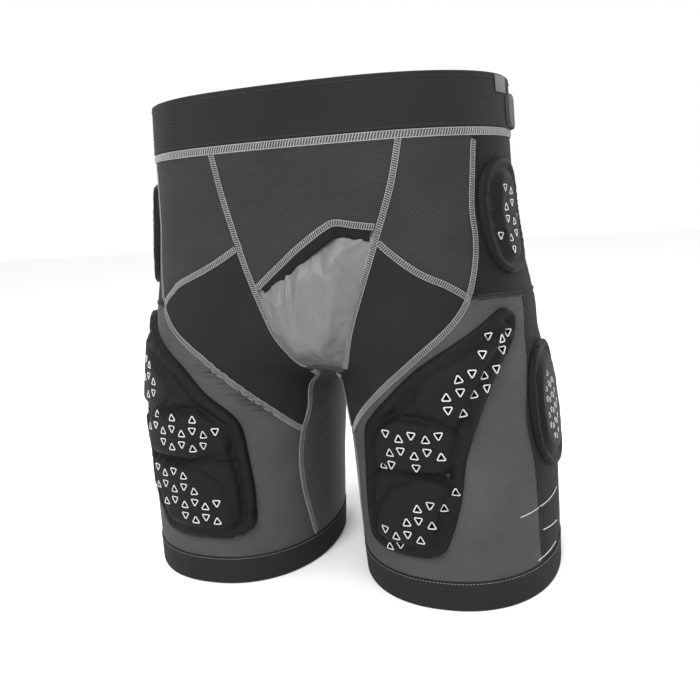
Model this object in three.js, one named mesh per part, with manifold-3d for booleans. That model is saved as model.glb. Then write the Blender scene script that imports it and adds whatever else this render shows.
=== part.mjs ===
// Padded impact shorts for skiing and snowboarding, holding their worn shape and standing on their hems.
// Millimetres, +Z up. The front faces -Y, the wearer's left is +X, and both hems rest on z = 0.
//
// Every cloth piece is cut flat as a pattern outline in pattern coordinates and wrapped round the body form:
//   t      share of the way round one half: 0 at the centre front, 1 at the centre back. Below the crotch
//          each leg is a ring of its own, and t = 0 and t = 1 meet on its inner side.
//   level  height in the base size, graded to the real height by grade().
import * as THREE from 'three';
import Module from 'manifold-3d';

const wasm = await Module();
wasm.setup();

// ---- Driving dimensions -----------------------------------------------------------------------
const INSEAM = 180; // floor to crotch
const RISE = 250; // crotch to the top of the waistband
const WAIST_HALF_WIDTH = 158;
const WAIST_HALF_DEPTH = 112;
const HIP_HALF_WIDTH = 168;
const HIP_HALF_DEPTH = 120;
const THIGH_HALF_WIDTH = 90;
const THIGH_HALF_DEPTH = 107;
const HEM_HALF_WIDTH = 87;
const HEM_HALF_DEPTH = 103;
const LEG_GAP = 42; // between the two hems, where they are nearest
const CROTCH_ROUNDING = 18; // radius under the torso
const LEG_BLEND = 26; // softness of the fold between torso and leg

const BAND_HEIGHT = 42;
const CUFF_HEIGHT = 26;
const FABRIC = 1.2;
const BAND_THICKNESS = 2.6;
const CUFF_THICKNESS = 2;
const LAYER_GAP = 0.3; // between two layers sewn face to face
const SEAM_GAP = 0.5; // between two panels along a seam
const TAPE_WIDTH = 5;
const WAIST_TAPE_WIDTH = 5.5;
const TAPE_THICKNESS = 0.6;
const BINDING_WIDTH = 8;
const BINDING_THICKNESS = 0.9;

const COVER = 1; // pad cover cloth
const COVER_BEAD = 1; // wall of the cover beside the foam
const THIGH_FOAM = 8.5;
const HIP_FOAM = 9;
const OUTER_FOAM = 6;
const TAIL_FOAM = 9;
const HIP_PAD = { t: 0.425, drop: 71, width: 50, height: 76 }; // drop: from the band's foot to its middle
const OUTER_PAD = { t: 0.466, level: 155, width: 66, height: 88 };
const TAIL_PAD = { t: 1, level: 296, width: 92, height: 84 };
const PAD_FLANGE = 9; // sewn margin of a cover round its foam

const TAB_LENGTH = 62;
const TAB_HEIGHT = 26;
const TAB_THICKNESS = 1.2;
const TAB_ROOT = 0.565; // t of the sewn rear end
const TAB_ROOT_LENGTH = 9; // thick sewn end, which the patches stay clear of
const PATCH_THICKNESS = 0.8;
const PATCH_LENGTH = 46;
const LABEL = { t: 0.445, width: 24, height: 13, thickness: 0.7 };

const COLUMNS = 24; // facets round one half
const SAMPLE = 9; // points along one seam between its ends

const COLOUR = {
  mesh: 0x46474c, thigh: 0x36373b, dark: 0x2b2c30, band: 0x303136, satin: 0x85868a,
  tape: 0x9a9a9c, foam: 0xc9cbd0, loop: 0x77787c, hook: 0x55565a, label: 0x202126,
};

const HEIGHT = INSEAM + RISE;
const BAND_BOTTOM = HEIGHT - BAND_HEIGHT;
const WRAP = 480; // flat millimetres that stand for one unit of t while an outline is cut

// ---- Body form --------------------------------------------------------------------------------
const BASE_INSEAM = 180;
const BASE_RISE = 250;

function grade(level) {
  if (level <= BASE_INSEAM) return (level * INSEAM) / BASE_INSEAM;
  return INSEAM + ((level - BASE_INSEAM) * RISE) / BASE_RISE;
}

// level, half width, half depth, centre y
const TORSO = [
  [178, HIP_HALF_WIDTH - 68, HIP_HALF_DEPTH - 58, 8],
  [205, HIP_HALF_WIDTH - 18, HIP_HALF_DEPTH - 22, 8],
  [240, HIP_HALF_WIDTH, HIP_HALF_DEPTH, 7],
  [280, HIP_HALF_WIDTH - 5, HIP_HALF_DEPTH + 1, 5],
  [330, WAIST_HALF_WIDTH + 1, WAIST_HALF_DEPTH + 5, 2],
  [390, WAIST_HALF_WIDTH + 1, WAIST_HALF_DEPTH + 2, 0],
  [430, WAIST_HALF_WIDTH, WAIST_HALF_DEPTH, 0],
];
// level, space beside the middle plane, half width, half depth, centre y
const LEG = [
  [0, LEG_GAP / 2, HEM_HALF_WIDTH, HEM_HALF_DEPTH, 0],
  [60, LEG_GAP / 2 - 4, HEM_HALF_WIDTH + 2, HEM_HALF_DEPTH + 1, 0],
  [120, LEG_GAP / 2 - 8, THIGH_HALF_WIDTH, THIGH_HALF_DEPTH - 1, 2],
  [170, LEG_GAP / 2 - 13, THIGH_HALF_WIDTH, THIGH_HALF_DEPTH + 1, 4],
  [220, LEG_GAP / 2 - 17, THIGH_HALF_WIDTH - 3, THIGH_HALF_DEPTH + 2, 6],
  [280, LEG_GAP / 2 - 26, THIGH_HALF_WIDTH - 7, THIGH_HALF_DEPTH - 1, 6],
  [430, LEG_GAP / 2 - 31, THIGH_HALF_WIDTH - 20, THIGH_HALF_DEPTH - 17, 0],
].map(([level, space, width, depth, y]) => [level, space + width, width, depth, y]);
const TORSO_FLOOR = 196; // level at which the torso's underside would be flat
const TORSO_SQUARENESS = 2.4;
const LEG_SQUARENESS = 2.2;

// Smooth curve through a table's rows that never overshoots them (monotone cubic).
function smoothTable(rows) {
  const z = rows.map((row) => grade(row[0]));
  const slopes = rows[0].slice(1).map((_, c) => {
    const rise = rows.slice(1).map((row, i) => (row[c + 1] - rows[i][c + 1]) / (z[i + 1] - z[i]));
    return rows.map((_row, i) => {
      if (i === 0) return rise[0];
      if (i === rise.length) return rise[i - 1];
      return rise[i - 1] * rise[i] <= 0 ? 0 : (2 * rise[i - 1] * rise[i]) / (rise[i - 1] + rise[i]);
    });
  });
  return (height) => {
    const at = THREE.MathUtils.clamp(height, z[0], z[z.length - 1]);
    let i = 0;
    while (i < z.length - 2 && at > z[i + 1]) i += 1;
    const h = z[i + 1] - z[i];
    const u = (at - z[i]) / h;
    return slopes.map((m, c) => {
      const [a, b] = [rows[i][c + 1], rows[i + 1][c + 1]];
      return a * (2 * u ** 3 - 3 * u * u + 1) + h * m[i] * (u ** 3 - 2 * u * u + u)
        + b * (3 * u * u - 2 * u ** 3) + h * m[i + 1] * (u ** 3 - u * u);
    });
  };
}
const torsoAt = smoothTable(TORSO);
const legAt = smoothTable(LEG);

// Distance, near enough, from a superellipse with half axes a and b.
function roundBox(x, y, a, b, n) {
  const u = Math.abs(x / a) + 1e-9;
  const v = Math.abs(y / b) + 1e-9;
  const k = (u ** n + v ** n) ** (1 / n);
  return (k - 1) / Math.hypot((u / k) ** (n - 1) / a, (v / k) ** (n - 1) / b);
}

function blend(a, b, k) {
  const h = THREE.MathUtils.clamp(0.5 + (0.5 * (b - a)) / k, 0, 1);
  return b * (1 - h) + a * h - k * h * (1 - h);
}

// Signed distance, near enough, outward from the body that the shorts are worn on.
function bodyDistance(x, y, z) {
  const [a, b, cy] = torsoAt(z);
  const side = roundBox(x, y - cy, a, b, TORSO_SQUARENESS) + CROTCH_ROUNDING;
  const under = grade(TORSO_FLOOR) + CROTCH_ROUNDING - z;
  const torso = Math.min(Math.max(side, under), 0)
    + Math.hypot(Math.max(side, 0), Math.max(under, 0)) - CROTCH_ROUNDING;
  const [lx, la, lb, ly] = legAt(z);
  const left = roundBox(x - lx, y - ly, la, lb, LEG_SQUARENESS);
  const right = roundBox(x + lx, y - ly, la, lb, LEG_SQUARENESS);
  return blend(torso, blend(left, right, LEG_BLEND * 0.6), LEG_BLEND);
}

// The pattern turns round an axis up the middle of the leg, carried on into the torso.
function guideAxis(z) {
  return [legAt(z)[0], legAt(Math.min(z, grade(230)))[3]];
}

// Above the crotch a half ring stops at the middle plane, so the last stretch of its turn is squeezed.
const SQUEEZE = Math.PI / 4;
function squeeze(angle, end) {
  const first = end - SQUEEZE;
  if (angle < first) return angle;
  const k = (Math.PI - first) / SQUEEZE;
  const u = (angle - first) / (Math.PI - first);
  return first + (SQUEEZE * k * u) / (1 + (k - 1) * u);
}

// Where a level ray from (x, y) leaves the body, not crossing the middle plane.
const FAR = 2 * (HIP_HALF_WIDTH + HEM_HALF_WIDTH);
function castRay(x, y, z, dx, dy) {
  let low = 0;
  let high = dx < -1e-6 ? Math.min(FAR, x / -dx) : FAR;
  for (let i = 0; i < 36; i += 1) {
    const middle = (low + high) / 2;
    if (bodyDistance(x + dx * middle, y + dy * middle, z) < 0) low = middle;
    else high = middle;
  }
  return [x + dx * low, y + dy * low];
}

// A point of the body on the wearer's left half, for t from 0 to 1.
function bodyPoint(t, z) {
  const [cx, cy] = guideAxis(z);
  let turn = Math.PI;
  const toward = t < 0.5 ? -1 : 1;
  if (bodyDistance(0, cy, z) < 0) {
    const [, y] = castRay(0, cy, z, 0, toward);
    turn = Math.atan2(Math.abs(y - cy), -cx);
  }
  const angle = -toward * squeeze(Math.PI * Math.abs(1 - 2 * t), turn);
  const [x, y] = castRay(cx, cy, z, Math.cos(angle), -Math.sin(angle));
  return new THREE.Vector3(Math.max(x, 0), y, z);
}

// The way straight out of the cloth at a point of the body.
function outward({ x, y, z }, level = false) {
  const e = 0.05;
  const slope = (dx, dy, dz) => bodyDistance(x + dx, y + dy, z + dz) - bodyDistance(x - dx, y - dy, z - dz);
  return new THREE.Vector3(slope(e, 0, 0), slope(0, e, 0), level ? 0 : slope(0, 0, e)).normalize();
}

// A point at a depth outside the body, measured straight out. Level surfaces keep their height.
function surface(t, z, depth, level = false) {
  const point = bodyPoint(t, z);
  return point.addScaledVector(outward(point, level), depth);
}

function crotchHeight() {
  let low = 0;
  let high = HEIGHT;
  for (let i = 0; i < 40; i += 1) {
    const middle = (low + high) / 2;
    if (bodyDistance(0, guideAxis(middle)[1], middle) < 0) high = middle;
    else low = middle;
  }
  return high;
}
const CROTCH = crotchHeight();

// ---- Facet grid shared by every layer, so that stacked layers stay parallel ----------------------
function steps(from, to, count) {
  return Array.from({ length: count }, (_, i) => from + ((to - from) * i) / count);
}
const ROWS = [
  0,
  ...steps(CUFF_HEIGHT, CROTCH - 15, 3),
  CROTCH - 15, CROTCH, CROTCH + 14, CROTCH + 30,
  ...steps(CROTCH + 46, BAND_BOTTOM, 3),
  BAND_BOTTOM, HEIGHT,
];

const corners = new Map();
function corner(column, row, depth) {
  const key = `${column},${row}`;
  if (!corners.has(key)) {
    const point = bodyPoint(column / COLUMNS, ROWS[row]);
    const level = row === 0 || ROWS[row] >= BAND_BOTTOM;
    corners.set(key, { point, out: outward(point, level) });
  }
  const { point, out } = corners.get(key);
  return point.clone().addScaledVector(out, depth);
}

// A chart says which half a piece is cut for. 'middle' pieces cross the middle plane and mirror there.
// 'left' and 'right' pieces stay on their half, and below the crotch they run on round their leg.
function chartCorner(chart, cell, side, row, depth) {
  if (chart === 'middle') {
    const turned = cell < 0 || cell >= COLUMNS;
    const column = cell < 0 ? -(cell + side) : cell >= COLUMNS ? 2 * COLUMNS - cell - side : cell + side;
    const point = corner(column, row, depth);
    if (turned) point.x = -point.x;
    return point;
  }
  const column = ((cell % COLUMNS) + COLUMNS) % COLUMNS;
  const point = corner(column + side, row, depth);
  point.x = Math.max(point.x, SEAM_GAP / 2);
  if (chart === 'right') point.x = -point.x;
  return point;
}

// ---- Flat outlines, as [s, z] with s = t * WRAP ---------------------------------------------------
const cross = (a, b, c) => (b[0] - a[0]) * (c[1] - a[1]) - (b[1] - a[1]) * (c[0] - a[0]);
const area = (loop) => loop.reduce((sum, p, i) => {
  const q = loop[(i + 1) % loop.length];
  return sum + (p[0] * q[1] - p[1] * q[0]) / 2;
}, 0);

// Millimetres of cloth for one flat millimetre along s, at a place.
function girthScale(s, z) {
  const t = Math.abs(s / WRAP) % 2;
  const own = THREE.MathUtils.clamp(t > 1 ? 2 - t : t, 0.01, 0.99);
  return surface(own + 0.01, z, FABRIC).distanceTo(surface(own - 0.01, z, FABRIC)) / (0.02 * WRAP);
}

// Smooth curve through pattern points, as flat points.
function curve(points, count = SAMPLE) {
  const flat = points.map(([t, level]) => new THREE.Vector2(t * WRAP, grade(level)));
  if (flat.length === 2) return flat.map((p) => [p.x, p.y]);
  return new THREE.SplineCurve(flat).getPoints(count).map((p) => [p.x, p.y]);
}

function closedCurve(points, count) {
  const flat = points.map(([t, level]) => new THREE.Vector3(t * WRAP, grade(level), 0));
  const line = new THREE.CatmullRomCurve3(flat, true, 'centripetal');
  return line.getPoints(count).slice(0, -1).map((p) => [p.x, p.y]);
}

// Joins curves end to end into one outline, counter-clockwise, dropping shared ends.
function outline(...pieces) {
  const loop = [];
  for (const point of pieces.flat()) {
    const last = loop[loop.length - 1];
    if (!last || Math.hypot(point[0] - last[0], point[1] - last[1]) > 0.5) loop.push(point);
  }
  while (Math.hypot(loop[0][0] - loop.at(-1)[0], loop[0][1] - loop.at(-1)[1]) < 0.5) loop.pop();
  return area(loop) < 0 ? loop.reverse() : loop;
}

// Moves an outline inward by a distance, or outward when it is negative.
function inset(loop, distance) {
  return loop.map((p, i) => {
    const before = loop[(i + loop.length - 1) % loop.length];
    const after = loop[(i + 1) % loop.length];
    const n1 = [before[1] - p[1], p[0] - before[0]];
    const n2 = [p[1] - after[1], after[0] - p[0]];
    const [l1, l2] = [Math.hypot(...n1), Math.hypot(...n2)];
    const sum = [n1[0] / l1 + n2[0] / l2, n1[1] / l1 + n2[1] / l2];
    const turn = Math.max((sum[0] ** 2 + sum[1] ** 2) / 2, 0.5);
    return [p[0] + (distance * sum[0]) / turn, p[1] + (distance * sum[1]) / turn];
  });
}

// A flat curve moved to its right, in real millimetres of cloth.
function offsetLine(line, distance) {
  return line.map((p, i) => {
    const a = line[Math.max(i - 1, 0)];
    const b = line[Math.min(i + 1, line.length - 1)];
    const scale = girthScale(p[0], p[1]);
    const along = [(b[0] - a[0]) * scale, b[1] - a[1]];
    const reach = distance / Math.hypot(...along);
    return [p[0] + (along[1] * reach) / scale, p[1] - along[0] * reach];
  });
}

// A strip of even width along a flat curve.
function ribbon(line, width) {
  return outline(offsetLine(line, width / 2), offsetLine(line, -width / 2).reverse());
}

// An oval whose width and height are real sizes on the cloth.
function oval({ t, level, drop, width, height }, grow = 0, squareness = 2.5, points = 14) {
  const centre = [t * WRAP, drop === undefined ? grade(level) : BAND_BOTTOM - drop];
  const scale = girthScale(...centre);
  return Array.from({ length: points }, (_, i) => {
    const angle = ((i + 0.5) * 2 * Math.PI) / points;
    const [c, s] = [Math.cos(angle), Math.sin(angle)];
    return [
      centre[0] + ((width / 2 + grow) / scale) * Math.sign(c) * Math.abs(c) ** (2 / squareness),
      centre[1] + (height / 2 + grow) * Math.sign(s) * Math.abs(s) ** (2 / squareness),
    ];
  });
}

// ---- Cutting an outline along the facet grid -----------------------------------------------------
function inTriangle(p, a, b, c) {
  return cross(a, b, p) > -1e-9 && cross(b, c, p) > -1e-9 && cross(c, a, p) > -1e-9;
}

// Ear clipping that keeps points lying on a straight edge.
function triangulate(loop) {
  const rest = [...loop];
  const triangles = [];
  while (rest.length > 3) {
    let best = -1;
    let shortest = Infinity;
    for (let i = 0; i < rest.length; i += 1) {
      const [a, b, c] = [rest.at(i - 1), rest[i], rest[(i + 1) % rest.length]];
      const length = Math.hypot(c[0] - a[0], c[1] - a[1]);
      if (length < shortest && cross(a, b, c) > 1e-8
        && !rest.some((p) => p !== a && p !== b && p !== c && inTriangle(p, a, b, c))) {
        best = i;
        shortest = length;
      }
    }
    if (best < 0) break;
    triangles.push([rest.at(best - 1), rest[best], rest[(best + 1) % rest.length]]);
    rest.splice(best, 1);
  }
  if (rest.length === 3 && cross(...rest) > 1e-9) triangles.push(rest);
  return triangles;
}

function clip(polygon, triangle) {
  let kept = polygon;
  for (let e = 0; e < 3 && kept.length; e += 1) {
    const [a, b] = [triangle[e], triangle[(e + 1) % 3]];
    const next = [];
    kept.forEach((p, i) => {
      const q = kept[(i + 1) % kept.length];
      const [dp, dq] = [cross(a, b, p), cross(a, b, q)];
      if (dp >= -1e-9) next.push(p);
      if ((dp > 1e-9 && dq < -1e-9) || (dp < -1e-9 && dq > 1e-9)) {
        const u = dp / (dp - dq);
        next.push([p[0] + (q[0] - p[0]) * u, p[1] + (q[1] - p[1]) * u]);
      }
    });
    kept = next;
  }
  return kept;
}

const keyOf = (p) => `${Math.round(p[0] * 1e5)},${Math.round(p[1] * 1e5)}`;

const NEAR = 0.05; // an outline point this near to a line of the grid is put on it

function onto(p, a, b) {
  const u = ((p[0] - a[0]) * (b[0] - a[0]) + (p[1] - a[1]) * (b[1] - a[1]))
    / ((b[0] - a[0]) ** 2 + (b[1] - a[1]) ** 2);
  const v = THREE.MathUtils.clamp(u, 0, 1);
  return [a[0] + (b[0] - a[0]) * v, a[1] + (b[1] - a[1]) * v];
}
const apart = (p, q) => Math.hypot(p[0] - q[0], p[1] - q[1]);

// The two corner triples of a grid cell. Mirrored cells have a mirrored diagonal.
function halvesOf(chart, cell) {
  return chart === 'middle' && (cell < 0 || cell >= COLUMNS)
    ? [[[0, 0], [1, 0], [0, 1]], [[1, 0], [1, 1], [0, 1]]]
    : [[[0, 0], [1, 0], [1, 1]], [[0, 0], [1, 1], [0, 1]]];
}

// Puts outline points that nearly touch a line of the grid exactly on it.
function settle(loop, chart) {
  const width = WRAP / COLUMNS;
  return loop.map((p) => {
    const cell = Math.floor(p[0] / width);
    const row = THREE.MathUtils.clamp(ROWS.findLastIndex((z) => z <= p[1]), 0, ROWS.length - 2);
    const at = ([side, up]) => [(cell + side) * width, ROWS[row + up]];
    const corners4 = [[0, 0], [1, 0], [1, 1], [0, 1]].map(at);
    const hit = corners4.find((c) => apart(c, p) < NEAR);
    if (hit) return hit;
    for (const half of halvesOf(chart, cell)) {
      for (let i = 0; i < 3; i += 1) {
        const moved = onto(p, at(half[i]), at(half[(i + 1) % 3]));
        if (apart(moved, p) < NEAR) return moved;
      }
    }
    return p;
  });
}

// Joins the convex scraps that fall in one facet into outlines without inner edges. A point stays where
// keep says so; any other lies along a straight line of the grid.
function joinScraps(scraps, keep) {
  const edges = new Map();
  const places = new Map();
  for (const scrap of scraps) {
    scrap.forEach((p, i) => {
      const [from, to] = [keyOf(p), keyOf(scrap[(i + 1) % scrap.length])];
      if (from === to) return;
      places.set(from, p);
      if (edges.get(to)?.has(from)) edges.get(to).delete(from);
      else edges.set(from, (edges.get(from) ?? new Set()).add(to));
    });
  }
  const loops = [];
  for (const start of edges.keys()) {
    while (edges.get(start).size) {
      const loop = [];
      let at = start;
      do {
        const to = edges.get(at).values().next().value;
        edges.get(at).delete(to);
        loop.push(at);
        at = to;
      } while (at !== start);
      const points = loop.map((key) => places.get(key));
      loops.push(points.filter(keep));
    }
  }
  return loops.filter((loop) => loop.length > 2);
}

// The grid facets that an outline covers: each has its three corners and the triangles cut from it.
function cutToGrid(rough, chart) {
  const loop = settle(rough, chart);
  const width = WRAP / COLUMNS;
  const onCorner = (p) => Math.abs(p[0] / width - Math.round(p[0] / width)) < 1e-6
    && ROWS.some((z) => Math.abs(z - p[1]) < 1e-6);
  const keep = (p) => onCorner(p)
    || loop.some((a, i) => apart(p, onto(p, a, loop[(i + 1) % loop.length])) < 1e-4);
  const scraps = new Map();
  for (const ear of triangulate(loop)) {
    const s = ear.map((p) => p[0]);
    const z = ear.map((p) => p[1]);
    for (let cell = Math.floor(Math.min(...s) / width); cell * width < Math.max(...s); cell += 1) {
      for (let row = 0; row < ROWS.length - 1; row += 1) {
        if (ROWS[row] > Math.max(...z) || ROWS[row + 1] < Math.min(...z)) continue;
        const at = (side, up) => [(cell + side) * width, ROWS[row + up]];
        halvesOf(chart, cell).forEach((half, h) => {
          const scrap = clip(ear, half.map(([side, up]) => at(side, up)));
          if (scrap.length < 3 || area(scrap) < 1e-8) return;
          const key = `${cell},${row},${h}`;
          if (!scraps.has(key)) scraps.set(key, { cell, row, half, flat: half.map((c) => at(...c)), list: [] });
          scraps.get(key).list.push(scrap);
        });
      }
    }
  }
  return [...scraps.values()].map((facet) => ({
    ...facet,
    triangles: joinScraps(facet.list, keep).flatMap((loop2) => triangulate(loop2)),
  }));
}

// ---- Wrapping --------------------------------------------------------------------------------------
// A closed solid between two depths over an outline. ring joins its two ends, so it has no end walls.
function plate(loop, chart, depth0, depth1, ring = 0) {
  const index = new Map();
  const inner = [];
  const outer = [];
  const faces = [];
  for (const facet of cutToGrid(loop, chart)) {
    const whole = cross(...facet.flat);
    const shape = [depth0, depth1].map((depth) => facet.half.map(([side, up]) => (
      chartCorner(chart, facet.cell, side, facet.row + up, depth))));
    const vertex = (p) => {
      const s = ring && p[0] > ring * WRAP - 1e-4 ? p[0] - (chart === 'middle' ? 2 : 1) * WRAP : p[0];
      const key = keyOf([s, p[1]]);
      if (!index.has(key)) {
        const [a, b, c] = facet.flat;
        const weights = [cross(p, b, c) / whole, cross(a, p, c) / whole, cross(a, b, p) / whole];
        [inner, outer].forEach((list, i) => {
          const place = new THREE.Vector3();
          weights.forEach((w, k) => place.addScaledVector(shape[i][k], w));
          list.push(place);
        });
        index.set(key, inner.length - 1);
      }
      return index.get(key);
    };
    for (const triangle of facet.triangles) {
      const face = triangle.map(vertex);
      if (new Set(face).size === 3) faces.push(face);
    }
  }
  const borders = new Map();
  for (const face of faces) {
    face.forEach((a, i) => {
      const b = face[(i + 1) % 3];
      if (borders.has(`${b},${a}`)) borders.delete(`${b},${a}`);
      else borders.set(`${a},${b}`, [a, b]);
    });
  }
  const n = inner.length;
  const all = faces.flatMap(([a, b, c]) => [[a + n, b + n, c + n], [c, b, a]]);
  for (const [a, b] of borders.values()) all.push([b + n, a + n, a], [b + n, a, b]);
  const turned = chart === 'right';
  const geometry = new THREE.BufferGeometry();
  geometry.setAttribute('position', new THREE.Float32BufferAttribute(
    [...inner, ...outer].flatMap((p) => [p.x, p.y, p.z]), 3,
  ));
  geometry.setIndex(all.flatMap(([a, b, c]) => (turned ? [a, c, b] : [a, b, c])));
  return geometry;
}

function toSolid(geometry) {
  return new wasm.Manifold(new wasm.Mesh({
    numProp: 3,
    vertProperties: new Float32Array(geometry.attributes.position.array),
    triVerts: new Uint32Array(geometry.index.array),
  }));
}

function toGeometry(solid) {
  const mesh = solid.getMesh();
  const geometry = new THREE.BufferGeometry();
  geometry.setAttribute('position', new THREE.Float32BufferAttribute(mesh.vertProperties, 3));
  geometry.setIndex([...mesh.triVerts]);
  return geometry;
}

const shorts = new THREE.Group();
function add(name, geometry, colour, roughness = 0.9) {
  const material = new THREE.MeshStandardMaterial({ color: colour, roughness, metalness: 0 });
  const mesh = new THREE.Mesh(geometry, material);
  mesh.name = name;
  shorts.add(mesh);
}

// ---- Seams -------------------------------------------------------------------------------------------
const SIDES = [
  { chart: 'left', tag: 'left', sign: 1 },
  { chart: 'right', tag: 'right', sign: -1 },
];
const BAND_LEVEL = 430 - (BAND_HEIGHT * BASE_RISE) / RISE;
const CUFF_LEVEL = (CUFF_HEIGHT * BASE_INSEAM) / INSEAM;
const POUCH_FOOT = 201; // level where the pouch ends above the crotch

// The fly panel sits a little to the wearer's left of the middle: half spacing and shift by level.
const FLY_HALF = [[BAND_LEVEL, 0.262], [349, 0.239], [308, 0.203], [273, 0.165], [242, 0.123], [POUCH_FOOT, 0.066]];
const flyShift = (level) => 0.04 - (0.014 * (level - POUCH_FOOT)) / 187;
const frontSeam = (sign, from = BAND_LEVEL) => {
  const whole = FLY_HALF.map(([level, half]) => [half + sign * flyShift(level), level]);
  const line = curve(whole, 12);
  return line.filter((p) => p[1] <= grade(from) + 1);
};
const THIGH_TOP = 307; // level where the thigh seam leaves the front seam
const SIDE_FOOT = [0.332, 257];
const OUTER_TOP = [0.437, 252];
const REAR_FOOT = [0.53, 250];
const SEAT_FOOT = [0.905, 184];
const BACK_TIP = [1, 222];
const INNER_JOIN = [0.105, 135];

const SIDE_SEAM = [[0.378, BAND_LEVEL], [0.369, 355], [0.36, 325], [0.358, 303], [0.349, 280], SIDE_FOOT];
const THIGH_SEAM = [[0.282, 280], [0.31, 268.5], SIDE_FOOT];
const LEG_SEAM = [SIDE_FOOT, [0.305, 239], [0.246, 208], [0.17, 167], [0.128, 145], INNER_JOIN];
const UPPER_INNER = [[0.09, 180], [0.096, 155], INNER_JOIN];
const LOWER_INNER = [INNER_JOIN, [0.109, 108], [0.101, 74], [0.078, CUFF_LEVEL]];
const SIDE_HEM = [SIDE_FOOT, [0.38, 255.5], OUTER_TOP];
const REAR_HEM = [OUTER_TOP, REAR_FOOT];
const OUTER_SEAM = [OUTER_TOP, [0.415, 204], [0.388, 155], [0.395, 110], [0.4, CUFF_LEVEL]];
const REAR_SEAM = [[0.535, BAND_LEVEL], [0.532, 320], REAR_FOOT];
const SEAT_SEAM = [REAR_FOOT, [0.62, 224], [0.72, 203], [0.82, 190], SEAT_FOOT];
const SEAT_TO_TIP = [SEAT_FOOT, [0.94, 206], BACK_TIP];
const BACK_INNER = [SEAT_FOOT, [0.9, 158], [0.895, 125], [0.9, 74], [0.93, CUFF_LEVEL]];
const FLY_ARCH = [[-0.069, 284.5], [0.001, 296.5], [0.079, 309], [0.133, 318.5], [0.162, 322], [0.2, 319.5]];

const frontSeamAt = (sign, level) => {
  const line = frontSeam(sign);
  const height = grade(level);
  const i = line.findIndex((p) => p[1] <= height);
  const [a, b] = [line[i - 1], line[i]];
  const u = (a[1] - height) / (a[1] - b[1]);
  return [(a[0] + (b[0] - a[0]) * u) / WRAP, level];
};
const mirror = (line) => line.map(([s, z]) => [-s, z]);
const shift = (points, by) => points.map(([t, level]) => [t + by, level]);
const thighSeam = (sign) => curve([frontSeamAt(sign, THIGH_TOP), ...THIGH_SEAM]);
const innerSeam = (sign) => curve([frontSeamAt(sign, POUCH_FOOT + 0.01), ...UPPER_INNER], 7);
const archLine = () => curve([
  frontSeamAt(-1, 271).map((v, i) => (i === 0 ? -v : v)), ...FLY_ARCH, frontSeamAt(1, 316.5)], 12);

// ---- Cloth panels ----------------------------------------------------------------------------------------
function cutPanel(name, loop, chart, colour, roughness) {
  add(name, plate(inset(loop, SEAM_GAP / 2), chart, 0, FABRIC), colour, roughness);
}

function addFlyPanels() {
  const arch = archLine();
  const left = frontSeam(1);
  const right = mirror(frontSeam(-1));
  const archEnd = arch.at(-1)[1];
  cutPanel('centre_front_panel', outline(
    right.filter((p) => p[1] > arch[0][1] + 1), arch, left.filter((p) => p[1] > archEnd + 1).reverse(),
  ), 'middle', COLOUR.mesh);
  cutPanel('pouch', outline(
    [...arch].reverse(), right.filter((p) => p[1] < arch[0][1] - 1),
    left.filter((p) => p[1] < archEnd - 1).reverse(),
  ), 'middle', COLOUR.satin, 0.55);
  const besideTape = TAPE_WIDTH / 2 + 0.8;
  addTape('fly_seam', arch, 'middle', besideTape + 3, besideTape + 1);
  const below = offsetLine(arch, (TAPE_WIDTH + BINDING_WIDTH) / 2 + SEAM_GAP);
  add('fly_binding', plate(ribbon(trim(below, BINDING_WIDTH + 3, besideTape + BINDING_WIDTH / 2 + 1), BINDING_WIDTH), 'middle',
    FABRIC + LAYER_GAP, FABRIC + LAYER_GAP + BINDING_THICKNESS), COLOUR.dark);
}

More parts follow.
